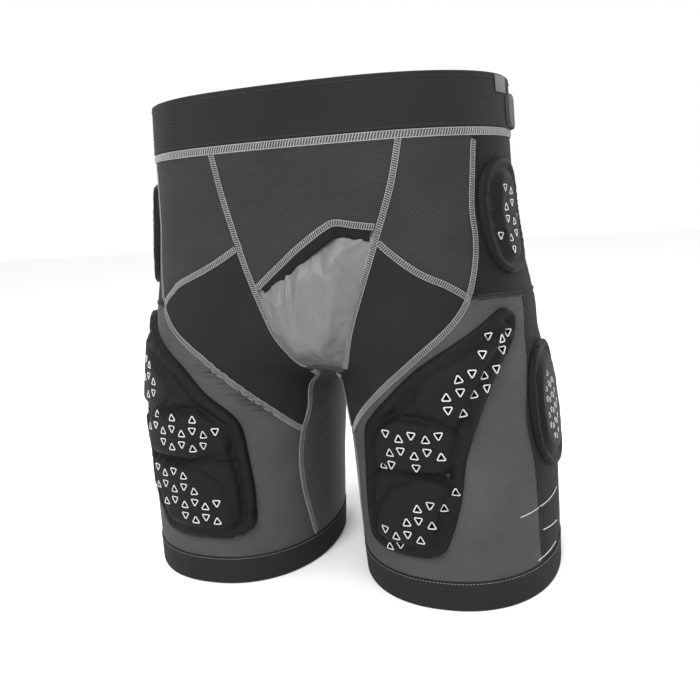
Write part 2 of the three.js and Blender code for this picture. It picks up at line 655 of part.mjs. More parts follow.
function addSidePanels({ chart, tag, sign }) {
  const top = frontSeam(sign).filter((p) => p[1] > grade(THIGH_TOP) + 1);
  const middle = frontSeam(sign).filter((p) => p[1] < grade(THIGH_TOP) - 1);
  const footOfPouch = frontSeamAt(sign, POUCH_FOOT + 0.01)[0] * WRAP;
  cutPanel(`hip_panel_front_${tag}`, outline(top, thighSeam(sign), curve(SIDE_SEAM).reverse()),
    chart, COLOUR.mesh);
  cutPanel(`thigh_panel_front_${tag}`, outline(
    thighSeam(sign).slice(0, 1), middle, innerSeam(sign).slice(1), curve(LEG_SEAM, 12).reverse(),
    thighSeam(sign).reverse(),
  ), chart, COLOUR.thigh);
  cutPanel(`side_panel_${tag}`, outline(
    curve(SIDE_SEAM), curve(SIDE_HEM, 4), curve(REAR_HEM), curve(REAR_SEAM, 5).reverse(),
  ), chart, COLOUR.dark);
  cutPanel(`seat_panel_${tag}`, outline(
    curve(REAR_SEAM, 5), curve(SEAT_SEAM, 7), curve(SEAT_TO_TIP, 4), [[WRAP, BAND_BOTTOM]],
  ), chart, COLOUR.thigh);
  cutPanel(`leg_mesh_${tag}`, outline(
    curve(LEG_SEAM, 12), curve(LOWER_INNER, 5), curve(OUTER_SEAM, 7).reverse(), curve(SIDE_HEM, 4).reverse(),
  ), chart, COLOUR.mesh);
  cutPanel(`leg_back_${tag}`, outline(
    curve(OUTER_SEAM, 7), curve(BACK_INNER, 7).reverse(), curve(SEAT_SEAM, 7).reverse(),
    curve(REAR_HEM).reverse(),
  ), chart, COLOUR.thigh);
  const behind = (points, count) => curve(shift(points, -1), count);
  cutPanel(`inner_thigh_gusset_${tag}`, outline(
    behind(BACK_INNER, 7), curve(LOWER_INNER, 5).reverse(), innerSeam(sign).reverse(),
    [[footOfPouch, grade(POUCH_FOOT)], [1, grade(POUCH_FOOT)], [0, CROTCH], [-1, grade(BACK_TIP[1]) - 4]],
    behind(SEAT_TO_TIP, 4).reverse().slice(1),
  ), chart, COLOUR.satin, 0.6);
  const cuff = [[0, 0], [WRAP, 0], [WRAP, CUFF_HEIGHT - SEAM_GAP / 2], [0, CUFF_HEIGHT - SEAM_GAP / 2]];
  add(`hem_cuff_${tag}`, plate(cuff, chart, 0, CUFF_THICKNESS, 1), COLOUR.band);
}

function addWaistband() {
  const bottom = BAND_BOTTOM + SEAM_GAP / 2;
  add('waistband', plate([[-WRAP, bottom], [WRAP, bottom], [WRAP, HEIGHT], [-WRAP, HEIGHT]],
    'middle', 0, BAND_THICKNESS, 1), COLOUR.band);
  const top = BAND_BOTTOM - SEAM_GAP;
  add('waist_seam', plate([[-WRAP, top - WAIST_TAPE_WIDTH], [WRAP, top - WAIST_TAPE_WIDTH], [WRAP, top],
    [-WRAP, top]], 'middle', FABRIC + LAYER_GAP, FABRIC + LAYER_GAP + TAPE_THICKNESS, 1), COLOUR.tape);
}

// ---- Flatlock seam tapes, one for each seam, ending clear of each other -----------------------------------
function trim(line, startGap, endGap) {
  const length = (a, b) => Math.hypot(a[0] - b[0], a[1] - b[1]);
  const cut = (points, gap) => {
    let left = gap;
    let i = 0;
    while (length(points[i], points[i + 1]) < left) {
      left -= length(points[i], points[i + 1]);
      i += 1;
    }
    const u = left / length(points[i], points[i + 1]);
    const [a, b] = [points[i], points[i + 1]];
    return [[a[0] + (b[0] - a[0]) * u, a[1] + (b[1] - a[1]) * u], ...points.slice(i + 1)];
  };
  return cut(cut(line, startGap).reverse(), endGap).reverse();
}

function addTape(name, line, chart, startGap, endGap) {
  add(name, plate(ribbon(trim(line, startGap, endGap), TAPE_WIDTH), chart, FABRIC + LAYER_GAP,
    FABRIC + LAYER_GAP + TAPE_THICKNESS), COLOUR.tape);
}

function addTapes({ chart, tag, sign }) {
  const underBand = ([[s0, z0], [s1, z1]]) => {
    const lean = Math.abs((s1 - s0) / (z1 - z0));
    return (WAIST_TAPE_WIDTH + SEAM_GAP + 1 + (lean * TAPE_WIDTH) / 2) * Math.hypot(1, lean);
  };
  const clear = TAPE_WIDTH / 2 + 0.8;
  addTape(`front_seam_${tag}`, frontSeam(sign), chart, underBand(frontSeam(sign)), 1);
  addTape(`thigh_seam_${tag}`, thighSeam(sign), chart, clear + 2, clear + 3);
  addTape(`side_seam_${tag}`, curve(SIDE_SEAM), chart, underBand(curve(SIDE_SEAM)), 1);
  addTape(`leg_seam_${tag}`, curve(LEG_SEAM, 12), chart, clear + 2, clear + 2);
  addTape(`inner_thigh_seam_${tag}`, outline2(innerSeam(sign), curve(LOWER_INNER, 5)), chart, 4, 1);
}
function outline2(first, second) {
  return [...first, ...second.slice(1)];
}

// ---- Pads: foam blocks under a cover that is sewn flat round them -----------------------------------------
const THIGH_FOAMS = {
  upper: [[0.262, 182], [0.283, 200], [0.335, 222], [0.368, 234], [0.384, 228], [0.35, 198], [0.324, 172], [0.285, 168]],
  middle: [[0.198, 132], [0.205, 154], [0.25, 161], [0.295, 161], [0.308, 148], [0.292, 128], [0.24, 124]],
  lower: [[0.195, 60], [0.2, 86], [0.225, 106], [0.262, 112], [0.284, 106], [0.28, 80], [0.262, 60], [0.22, 55]],
};
const THIGH_COVER = [[0.168, 55], [0.205, 46], [0.265, 49], [0.284, 68], [0.298, 98], [0.308, 130], [0.33, 164],
  [0.358, 194], [0.39, 217], [0.404, 238], [0.386, 246], [0.335, 231], [0.27, 206], [0.226, 181], [0.186, 154],
  [0.17, 112], [0.164, 80]];
const PAD_TWIST = 0.014; // both legs turn a little to the wearer's right
const RIGHT_REACH = 0.3; // the lower right pad is drawn further round its leg
const PAD_BASE = FABRIC + LAYER_GAP;

function coverSolid(chart, flange, foams, thickness, base) {
  const roof = base + thickness + LAYER_GAP;
  let shell = toSolid(plate(flange, chart, base, base + COVER));
  for (const foam of foams) {
    shell = shell.add(toSolid(plate(inset(foam, -(LAYER_GAP + COVER_BEAD)), chart, base + COVER / 2, roof + COVER)));
  }
  for (const foam of foams) {
    shell = shell.subtract(toSolid(plate(inset(foam, -LAYER_GAP), chart, base - FABRIC, roof)));
  }
  return toGeometry(shell);
}

function addThighPads({ chart, tag, sign }) {
  const place = (points, count) => outline(closedCurve(points.map(([t, level]) => {
    const turned = t - sign * PAD_TWIST;
    const low = 1 - THREE.MathUtils.smoothstep(level, 150, 215);
    return [sign > 0 ? turned : turned + Math.max(turned - 0.2, 0) * RIGHT_REACH * low, level];
  }), count));
  const foams = Object.entries(THIGH_FOAMS).map(([name, points]) => {
    const loop = place(points, 10);
    add(`thigh_pad_${name}_foam_${tag}`, plate(loop, chart, PAD_BASE, PAD_BASE + THIGH_FOAM), COLOUR.foam);
    return loop;
  });
  add(`thigh_pad_cover_${tag}`, coverSolid(chart, place(THIGH_COVER, 20), foams, THIGH_FOAM, PAD_BASE), COLOUR.dark);
}

function addOvalPad(name, tag, chart, pad, thickness, base) {
  add(`${name}_foam${tag}`, plate(oval(pad), chart, base, base + thickness), COLOUR.foam);
  add(`${name}_cover${tag}`, coverSolid(chart, oval(pad, PAD_FLANGE), [oval(pad)], thickness, base), COLOUR.dark);
}

// ---- Waist adjusters: a tab that peels off the band, with hook and loop between ------------------------------
const LOOP_BASE = BAND_THICKNESS + LAYER_GAP;
const HOOK_BASE = LOOP_BASE + PATCH_THICKNESS + LAYER_GAP;
const TAB_BASE = HOOK_BASE + PATCH_THICKNESS + LAYER_GAP;
const TAB_BOTTOM = BAND_BOTTOM + 2;
const TAB_TOP = TAB_BOTTOM + TAB_HEIGHT;
const PATCH_START = TAB_ROOT_LENGTH + 1;
const PATCH_MARGIN = 1; // their edges lie inside the tab's
const TAB_EDGE = 0.5; // the root's edges lie inside the tab's
const TAB_SCALE = girthScale(TAB_ROOT * WRAP, BAND_BOTTOM);

// A thin patch on the band, between two lengths ahead of the tab's root and two heights.
function bandPatch(name, chart, from, to, z0, z1, base, thickness, colour) {
  const [s0, s1] = [to, from].map((length) => TAB_ROOT * WRAP - length / TAB_SCALE);
  add(name, plate([[s0, z0], [s1, z0], [s1, z1], [s0, z1]], chart, base, base + thickness), colour);
}

// The tab stands clear of its patches, on a thick root that is sewn to the band.
function tabGeometry(chart) {
  const part = (from, to, edge, base, roof) => {
    const [s0, s1] = [to, from].map((length) => TAB_ROOT * WRAP - length / TAB_SCALE);
    const [z0, z1] = [TAB_BOTTOM + edge, TAB_TOP - edge];
    return toSolid(plate([[s0, z0], [s1, z0], [s1, z1], [s0, z1]], chart, base, roof));
  };
  const strap = part(0, TAB_LENGTH, 0, TAB_BASE, TAB_BASE + TAB_THICKNESS);
  return toGeometry(strap.add(part(TAB_EDGE, TAB_ROOT_LENGTH, TAB_EDGE, LOOP_BASE, TAB_BASE + TAB_THICKNESS / 2)));
}

function addAdjuster({ chart, tag }) {
  const patch = (name, base, colour) => bandPatch(`${name}_${tag}`, chart, PATCH_START, PATCH_START + PATCH_LENGTH,
    TAB_BOTTOM + PATCH_MARGIN, TAB_TOP - PATCH_MARGIN, base, PATCH_THICKNESS, colour);
  patch('loop_patch', LOOP_BASE, COLOUR.loop);
  patch('hook_patch', HOOK_BASE, COLOUR.hook);
  add(`adjuster_tab_${tag}`, tabGeometry(chart), COLOUR.dark);
}

function addLabel() {
  const top = HEIGHT - 1.5;
  const from = ((TAB_ROOT - LABEL.t) * WRAP) * TAB_SCALE - LABEL.width / 2;
  bandPatch('side_label', 'left', from, from + LABEL.width, top - LABEL.height, top, LOOP_BASE,
    LABEL.thickness, COLOUR.label);
}

addWaistband();
addFlyPanels();
for (const side of SIDES) {
  addSidePanels(side);
  addTapes(side);
  addThighPads(side);
  addOvalPad('hip_pad', `_${side.tag}`, side.chart, HIP_PAD, HIP_FOAM, PAD_BASE);
  addOvalPad('outer_thigh_pad', `_${side.tag}`, side.chart, OUTER_PAD, OUTER_FOAM, PAD_BASE);
  addAdjuster(side);
}
addOvalPad('tail_pad', '', 'middle', TAIL_PAD, TAIL_FOAM, PAD_BASE);
addLabel();

// The origin is on the floor, under the middle of the whole object.
const middle = new THREE.Box3().setFromObject(shorts).getCenter(new THREE.Vector3());
shorts.position.y = -middle.y;

export default shorts;
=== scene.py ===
"""Padded impact shorts for snow sports: the finished look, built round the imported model.

Sizes are in millimetres until a mesh is made, which is in metres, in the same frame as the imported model.
A place on the cloth is a pattern place: t runs from 0 at the centre front or inseam to 1 at the centre back
or inseam on one half, level is the height above the floor, and depth is measured straight out of the cloth.
"""

from __future__ import annotations

import logging
import math
from dataclasses import dataclass, field
from enum import Enum
from typing import Sequence

import bpy
import numpy as np
from mathutils import Matrix, Vector
from mathutils.geometry import delaunay_2d_cdt


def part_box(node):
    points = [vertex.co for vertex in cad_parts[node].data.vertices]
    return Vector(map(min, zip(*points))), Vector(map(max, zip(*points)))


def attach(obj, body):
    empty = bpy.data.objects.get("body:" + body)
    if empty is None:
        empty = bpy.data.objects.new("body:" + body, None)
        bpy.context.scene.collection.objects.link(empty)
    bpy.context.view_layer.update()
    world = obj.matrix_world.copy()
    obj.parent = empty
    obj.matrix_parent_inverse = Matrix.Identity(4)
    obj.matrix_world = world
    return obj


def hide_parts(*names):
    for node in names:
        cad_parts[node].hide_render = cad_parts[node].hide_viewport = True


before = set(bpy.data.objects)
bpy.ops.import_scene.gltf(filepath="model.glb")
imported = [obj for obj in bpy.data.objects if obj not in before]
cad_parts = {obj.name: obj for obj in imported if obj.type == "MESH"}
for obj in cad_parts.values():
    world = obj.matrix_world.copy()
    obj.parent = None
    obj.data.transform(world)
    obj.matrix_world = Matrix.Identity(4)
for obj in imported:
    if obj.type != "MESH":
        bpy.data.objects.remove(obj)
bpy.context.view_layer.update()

LOG = logging.getLogger("shorts")
MM = 0.001
SEED = 7
Array = np.ndarray
Place = tuple[float, float]
Piece = bpy.types.Object
TORSO_GIRTH = 480.0
LEG_GIRTH = 640.0
GUSSET_GIRTH = 560.0


class Chart(Enum):
    """Which half of the body a piece is cut for."""

    MIDDLE = "middle"
    LEFT = "left"
    RIGHT = "right"

    @property
    def sign(self) -> float:
        """Minus one on the wearer's right."""
        return -1.0 if self is Chart.RIGHT else 1.0


class Weave(Enum):
    """How the face of a cloth is made."""

    KNIT = "knit"
    MESH = "mesh"
    SATIN = "satin"
    RIB = "rib"
    WOVEN = "woven"
    TWIST = "twist"
    PLAIN = "plain"


# ---- The body form --------------------------------------------------------------------------------


def smooth_table(rows: Sequence[Sequence[float]]):
    """A smooth curve through a table's rows that never overshoots them.

    Args:
        rows: one level and its values in each row, by rising level.

    Returns:
        A function from levels to values, with one column for each value.
    """
    table = np.array(rows, float)
    at, values = table[:, 0], table[:, 1:]
    gaps = np.diff(at)
    rises = np.diff(values, axis=0) / gaps[:, None]
    slopes = np.zeros_like(values)
    slopes[0], slopes[-1] = rises[0], rises[-1]
    product = rises[:-1] * rises[1:]
    total = np.where(product > 0, rises[:-1] + rises[1:], 1.0)
    slopes[1:-1] = np.where(product > 0, 2 * product / total, 0.0)

    def read(level: Array) -> Array:
        """The values at some levels."""
        level = np.clip(level, at[0], at[-1])
        i = np.clip(np.searchsorted(at, level, side="right") - 1, 0, len(at) - 2)
        u = ((level - at[i]) / gaps[i])[..., None]
        h = gaps[i][..., None]
        rise = slopes[i] * (u**3 - 2 * u * u + u) + slopes[i + 1] * (u**3 - u * u)
        return values[i] * (2 * u**3 - 3 * u * u + 1) + values[i + 1] * (3 * u * u - 2 * u**3) + h * rise

    return read


def soft_step(value: Array, low: float, high: float) -> Array:
    """Nought below low, one above high, and smooth between."""
    u = np.clip((np.asarray(value, float) - low) / (high - low), 0.0, 1.0)
    return u * u * (3 - 2 * u)


@dataclass
class BodyForm:
    """The body that the cloth lies on, read from a finely spaced table of its own shape."""

    height: float = 430.0
    torso: tuple = (
        (178, 100, 62, 8), (205, 150, 98, 8), (240, 168, 120, 7), (280, 163, 121, 5),
        (330, 159, 117, 2), (390, 159, 114, 0), (430, 158, 112, 0),
    )
    leg: tuple = (
        (0, 108, 87, 103, 0), (60, 106, 89, 104, 0), (120, 103, 90, 106, 2), (170, 98, 90, 108, 4),
        (220, 91, 87, 109, 6), (280, 78, 83, 106, 6), (430, 60, 70, 90, 0),
    )
    torso_floor: float = 196.0
    torso_squareness: float = 2.4
    leg_squareness: float = 2.2
    crotch_rounding: float = 18.0
    leg_blend: float = 26.0
    guide_top: float = 230.0
    squeeze: float = math.pi / 4
    reach: float = 500.0
    columns: int = 361
    rows: int = 431
    middle_gap: float = 0.15

    def __post_init__(self) -> None:
        """Fills the table of points and directions."""
        self._torso = smooth_table(self.torso)
        self._leg = smooth_table(self.leg)
        low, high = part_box("waistband")
        self.shift = (low.y + high.y) / 2 / MM
        t, z = np.meshgrid(np.linspace(0, 1, self.columns), np.linspace(0, self.height, self.rows))
        points = self._base(t, z)
        self._points, self._outward = points, self._slope(points)

    def _round(self, x: Array, y: Array, a: Array, b: Array, n: float) -> Array:
        """Distance, near enough, from a superellipse with half axes a and b."""
        u, v = np.abs(x / a) + 1e-9, np.abs(y / b) + 1e-9
        k = (u**n + v**n) ** (1 / n)
        return (k - 1) / np.hypot((u / k) ** (n - 1) / a, (v / k) ** (n - 1) / b)

    @staticmethod
    def _blend(a: Array, b: Array, k: float) -> Array:
        """The lesser of two distances, rounded where they are alike."""
        h = np.clip(0.5 + 0.5 * (b - a) / k, 0, 1)
        return b * (1 - h) + a * h - k * h * (1 - h)

    def distance(self, x: Array, y: Array, z: Array) -> Array:
        """Signed distance, near enough, outward from the body."""
        torso, leg = self._torso(z), self._leg(z)
        side = self._round(x, y - torso[..., 2], torso[..., 0], torso[..., 1], self.torso_squareness)
        side = side + self.crotch_rounding
        under = self.torso_floor + self.crotch_rounding - z
        trunk = np.minimum(np.maximum(side, under), 0) + np.hypot(np.maximum(side, 0), np.maximum(under, 0))
        trunk = trunk - self.crotch_rounding
        lx, la, lb, ly = (leg[..., k] for k in range(4))
        legs = self._blend(
            self._round(x - lx, y - ly, la, lb, self.leg_squareness),
            self._round(x + lx, y - ly, la, lb, self.leg_squareness),
            self.leg_blend * 0.6,
        )
        return self._blend(trunk, legs, self.leg_blend)

    def _cast(self, cx: Array, cy: Array, z: Array, dx: Array, dy: Array) -> tuple[Array, Array]:
        """Where a level ray leaves the body, not crossing the middle plane."""
        low = np.zeros_like(z)
        high = np.where(dx < -1e-6, np.minimum(self.reach, cx / np.maximum(-dx, 1e-6)), self.reach)
        for _ in range(27):
            half = (low + high) / 2
            inside = self.distance(cx + dx * half, cy + dy * half, z) < 0
            low, high = np.where(inside, half, low), np.where(inside, high, half)
        return cx + dx * low, cy + dy * low

    def _base(self, t: Array, z: Array) -> Array:
        """Points of the body on the wearer's left half."""
        cx, cy = self._leg(z)[..., 0], self._leg(np.minimum(z, self.guide_top))[..., 3]
        zero = 0 * z
        within = self.distance(zero, cy, z) < 0
        ends = []
        for toward in (-1, 1):
            _, edge = self._cast(zero, cy, z, zero, zero + toward)
            ends.append(np.where(within, np.arctan2(np.abs(edge - cy), -cx), np.pi))
        turn = np.pi * np.abs(1 - 2 * t)
        end = np.where(t < 0.5, ends[0], ends[1])
        first = end - self.squeeze
        k = (np.pi - first) / self.squeeze
        u = np.clip((turn - first) / (np.pi - first), 0, 1)
        turn = np.where(turn < first, turn, first + self.squeeze * k * u / (1 + (k - 1) * u))
        angle = np.where(t < 0.5, turn, -turn)
        x, y = self._cast(cx, cy, z, np.cos(angle), -np.sin(angle))
        return np.stack([np.maximum(x, 0), y, z], -1)

    def _slope(self, points: Array) -> Array:
        """The way straight out of the body at some points."""
        e = 0.05
        x, y, z = (points[..., k] for k in range(3))
        flat = (z < 1) | (z > 388)
        slope = np.stack([
            self.distance(x + e, y, z) - self.distance(x - e, y, z),
            self.distance(x, y + e, z) - self.distance(x, y - e, z),
            np.where(flat, 0.0, self.distance(x, y, z + e) - self.distance(x, y, z - e)),
        ], -1)
        return slope / np.linalg.norm(slope, axis=-1, keepdims=True)

    def _read(self, grid: Array, t: Array, z: Array) -> Array:
        """A value between the table's own places."""
        c = np.clip(t, 0, 1) * (self.columns - 1)
        r = np.clip(z, 0, self.height) / self.height * (self.rows - 1)
        i, j = np.minimum(c.astype(int), self.columns - 2), np.minimum(r.astype(int), self.rows - 2)
        u, v = (c - i)[..., None], (r - j)[..., None]
        lower = grid[j, i] * (1 - u) + grid[j, i + 1] * u
        upper = grid[j + 1, i] * (1 - u) + grid[j + 1, i + 1] * u
        return lower * (1 - v) + upper * v

    def own(self, chart: Chart, t: Array) -> tuple[Array, Array]:
        """The place on its own half, and which half that is.

        Args:
            chart: the chart the place is given in.
            t: the places along the pattern.

        Returns:
            t from 0 to 1, and 1 or -1 for the wearer's left or right.
        """
        t = np.asarray(t, float)
        if chart is Chart.MIDDLE:
            turned = np.mod(t, 2.0)
            away = turned > 1.0
            return np.where(away, 2.0 - turned, turned), np.where(away, -1.0, 1.0)
        return np.where((t < 0) | (t > 1), np.mod(t, 1.0), t), np.full_like(t, chart.sign)

    def outward(self, chart: Chart, t: Array, z: Array) -> Array:
        """The way straight out of the cloth at pattern places."""
        own, sign = self.own(chart, t)
        out = self._read(self._outward, own, np.asarray(z, float))
        out = out / np.linalg.norm(out, axis=-1, keepdims=True)
        out[..., 0] *= sign
        return out

    def place(self, chart: Chart, t: Array, z: Array, depth: Array | float) -> Array:
        """Pattern places as points in space.

        Args:
            chart: the half that the piece is cut for.
            t: the places along the pattern.
            z: their levels.
            depth: their distances out from the body.

        Returns:
            One row of x, y and z for each place, in millimetres.
        """
        z = np.asarray(z, float)
        own, sign = self.own(chart, t)
        points = self._read(self._points, own, z)
        if chart is not Chart.MIDDLE:
            points[..., 0] = np.maximum(points[..., 0], self.middle_gap)
        points[..., 0] *= sign
        points = points + self.outward(chart, t, z) * np.asarray(depth, float)[..., None]
        points[..., 1] += self.shift
        over = np.maximum(z - self.height, 0) + np.minimum(z, 0)
        points[..., 2] += over
        return points

    def stretch(self, chart: Chart, t: Array, z: Array) -> Array:
        """Millimetres of cloth for one unit of t at pattern places."""
        own, _ = self.own(chart, t)
        own = np.clip(own, 0.012, 0.988)
        a = self._read(self._points, own - 0.01, np.asarray(z, float))
        b = self._read(self._points, own + 0.01, np.asarray(z, float))
        return np.linalg.norm(b - a, axis=-1) / 0.02


# ---- Flat outlines --------------------------------------------------------------------------------


def spline(points: Sequence[Place], spans: int = 8) -> Array:
    """A smooth open curve through pattern places."""
    p = np.array(points, float)
    if len(p) == 2:
        return p
    out = []
    for i in range(len(p) - 1):
        a, b = p[max(i - 1, 0)], p[min(i + 2, len(p) - 1)]
        v0, v1 = (p[i + 1] - a) / 2, (b - p[i]) / 2
        u = np.linspace(0, 1, spans, endpoint=False)[:, None]
        out.append(
            (2 * p[i] - 2 * p[i + 1] + v0 + v1) * u**3
            + (-3 * p[i] + 3 * p[i + 1] - 2 * v0 - v1) * u * u + v0 * u + p[i]
        )
    return np.vstack([*out, p[-1:]])


def closed_spline(points: Sequence[Place], spans: int = 6) -> Array:
    """A smooth closed curve through pattern places."""
    p = np.array(points, float)
    n = len(p)
    u = np.linspace(0, 1, spans, endpoint=False)[:, None]
    out = []
    for i in range(n):
        a, b, c, d = (p[(i + k) % n] for k in (-1, 0, 1, 2))
        v0, v1 = (c - a) * 0.45, (d - b) * 0.45
        out.append((2 * b - 2 * c + v0 + v1) * u**3 + (-3 * b + 3 * c - 2 * v0 - v1) * u * u + v0 * u + b)
    return np.vstack(out)


def join_lines(*lines: Array) -> Array:
    """One outline from lines that meet end to end, without the places that they share."""
    places = np.vstack([np.atleast_2d(line) for line in lines])
    scale = np.array([500.0, 1.0])
    kept = [places[0]]
    for p in places[1:]:
        if np.linalg.norm((p - kept[-1]) * scale) > 0.4:
            kept.append(p)
    while np.linalg.norm((kept[0] - kept[-1]) * scale) < 0.4:
        kept.pop()
    return np.array(kept)


def resample(line: Array, spacing: float, closed: bool = False) -> Array:
    """The same line with points an even distance apart, in the line's own units."""
    run = np.vstack([line, line[:1]]) if closed else line
    lengths = np.concatenate([[0], np.cumsum(np.linalg.norm(np.diff(run, axis=0), axis=1))])
    count = max(2, int(round(lengths[-1] / spacing)))
    at = np.linspace(0, lengths[-1], count + 1)
    out = np.stack([np.interp(at, lengths, run[:, k]) for k in range(run.shape[1])], 1)
    return out[:-1] if closed else out


def distance_to(points: Array, line: Array, closed: bool = False) -> Array:
    """Distances from flat points to a flat line."""
    a = line if closed else line[:-1]
    b = np.roll(line, -1, axis=0) if closed else line[1:]
    along = b - a
    length2 = np.maximum((along**2).sum(1), 1e-12)
    best = np.full(len(points), np.inf)
    for start in range(0, len(points), 4000):
        p = points[start:start + 4000, None, :]
        u = np.clip(((p - a) * along).sum(-1) / length2, 0, 1)
        gap = p - a - u[..., None] * along
        best[start:start + 4000] = np.sqrt((gap**2).sum(-1)).min(1)
    return best


def inside(points: Array, outline: Array) -> Array:
    """Whether flat points lie within a closed outline."""
    a, b = outline, np.roll(outline, -1, axis=0)
    x, y = points[:, :1], points[:, 1:]
    cuts = (a[:, 1] > y) != (b[:, 1] > y)
    rise = np.where(b[:, 1] == a[:, 1], 1e-12, b[:, 1] - a[:, 1])
    crossing = a[:, 0] + (y - a[:, 1]) * (b[:, 0] - a[:, 0]) / rise
    return (cuts & (x < crossing)).sum(1) % 2 == 1


@dataclass
class FlatCut:
    """A piece of cloth cut flat, as small triangles."""

    points: Array
    triangles: Array
    edge: Array
    outline: Array


def cut_flat(outline: Array, spacing: float) -> FlatCut:
    """Fills an outline with even triangles.

    Args:
        outline: the flat outline in millimetres.
        spacing: the distance between points.

    Returns:
        The points, triangles, each point's distance from the edge, and the edge itself.
    """
    rim = resample(outline, spacing, closed=True)
    after = np.roll(rim, -1, axis=0)
    if (rim[:, 0] * after[:, 1] - rim[:, 1] * after[:, 0]).sum() < 0:
        rim = rim[::-1]
    low, high = rim.min(0), rim.max(0)
    step = spacing * math.sqrt(3) / 2
    rows = np.arange(low[1] + step / 2, high[1], step)
    x, y = np.meshgrid(np.arange(low[0], high[0] + spacing, spacing), rows)
    x = x + (np.arange(len(rows)) % 2)[:, None] * spacing / 2
    grid = np.stack([x.ravel(), y.ravel()], 1)
    grid = grid[inside(grid, rim)]
    grid = grid[distance_to(grid, rim, closed=True) > spacing * 0.55]
    points = np.vstack([rim, grid])
    loop = list(range(len(rim)))
    flat, _, faces, *_ = delaunay_2d_cdt([Vector(p) for p in points], [], [loop], 1, 1e-5)
    flat = np.array([[p.x, p.y] for p in flat])
    triangles = np.array([f for f in faces if len(f) == 3], int)
    a, b, c = (flat[triangles[:, k]] for k in range(3))
    turn = (b[:, 0] - a[:, 0]) * (c[:, 1] - a[:, 1]) - (b[:, 1] - a[:, 1]) * (c[:, 0] - a[:, 0])
    triangles = triangles[np.abs(turn) > 1e-9]
    turn = turn[np.abs(turn) > 1e-9]
    triangles[turn < 0] = triangles[turn < 0][:, ::-1]
    return FlatCut(flat, triangles, distance_to(flat, rim, closed=True), rim)


# ---- Creases and swell of the cloth ---------------------------------------------------------------


@dataclass(frozen=True)
class Crease:
    """One pinched crease between two pattern places, with t below 0 on the wearer's right."""

    start: Place
    end: Place
    height: float
    width: float


@dataclass(frozen=True)
class CreaseFan:
    """A run of creases whose ends step along two lines."""

    first: tuple[Place, Place]
    last: tuple[Place, Place]
    count: int
    height: float
    width: float
    jitter: float = 0.3

    def creases(self, rng: np.random.Generator) -> list[Crease]:
        """Its creases, each a little different."""
        made = []
        a, b = np.array(self.first, float), np.array(self.last, float)
        for i in range(self.count):
            u = (i + rng.uniform(-self.jitter, self.jitter)) / max(self.count - 1, 1)
            start, end = a[0] + (b[0] - a[0]) * u, a[1] + (b[1] - a[1]) * u
            short = rng.uniform(0.0, 0.22)
            start = start + (end - start) * short * rng.uniform(0, 1)
            end = end - (end - start) * short
            size = rng.uniform(0.55, 1.2)
            width = self.width * rng.uniform(0.8, 1.25)
            made.append(Crease(tuple(start), tuple(end), self.height * size, width))
        return made


@dataclass
class ClothRelief:
    """How far the cloth stands off the smooth form: creases, ripples beside seams, and slack."""

    form: BodyForm
    fans: tuple[CreaseFan, ...]
    seam_lines: list[tuple[Chart, Array]] = field(default_factory=list)
    slack: float = 0.7
    seam_dip: float = 0.75
    ripple: float = 0.28
    girth: float = 560.0

    def __post_init__(self) -> None:
        """Draws every crease once, in a fixed order."""
        rng = np.random.default_rng(SEED)
        self.creases = [c for fan in self.fans for c in fan.creases(rng)]
        self.waves = [
            (rng.uniform(-1, 1, 3) * 0.045, rng.uniform(0, 2 * math.pi), rng.uniform(0.4, 1.0))
            for _ in range(14)
        ]

    def height(self, chart: Chart, t: Array, z: Array) -> Array:
        """The relief at pattern places, in millimetres."""
        own, sign = self.form.own(chart, t)
        z = np.asarray(z, float)
        flat = np.stack([own * sign * self.girth, z], -1)
        total = np.zeros(len(flat))
        for crease in self.creases:
            a = np.array([crease.start[0] * self.girth, crease.start[1]])
            b = np.array([crease.end[0] * self.girth, crease.end[1]])
            along = b - a
            length = math.hypot(*along)
            u = ((flat - a) @ along) / length**2
            aside = (flat[:, 0] - a[0]) * along[1] - (flat[:, 1] - a[1]) * along[0]
            r = np.abs(aside) / length / crease.width
            near = (u > 0) & (u < 1) & (r < 3)
            bell = np.sin(np.pi * np.clip(u, 0, 1)) ** 0.8
            total += np.where(near, crease.height * bell * (1 - 1.6 * r * r) * np.exp(-r * r), 0.0)
        points = self.form.place(chart, t, z, np.zeros(len(flat)))
        for way, phase, size in self.waves:
            total += 0.16 * self.slack * size * np.sin(points @ way * 2.2 + phase)
        total += self._beside_seams(flat, sign)
        hold = soft_step(z, 24, 44) * (1 - soft_step(z, 368, 386))
        return total * (0.12 + 0.88 * hold)

    def _beside_seams(self, flat: Array, sign: Array) -> Array:
        """The dip along each seam, and the small ripples that its thread draws up."""
        total = np.zeros(len(flat))
        for chart, line in self.seam_lines:
            run = line * np.array([self.girth * chart.sign, 1.0])
            gap = distance_to(flat, run)
            side = (sign == chart.sign) | (np.abs(flat[:, 0]) < 20)
            gap = np.where(side, gap, 99.0)
            total -= self.seam_dip * np.exp(-((gap / 4.5) ** 2))
            phase = (flat[:, 0] * 0.83 + flat[:, 1] * 0.97) * (2 * math.pi / 6.5)
            total += self.ripple * np.sin(phase) * np.exp(-(((gap - 5.0) / 3.5) ** 2))
        return total


# ---- Meshes ---------------------------------------------------------------------------------------


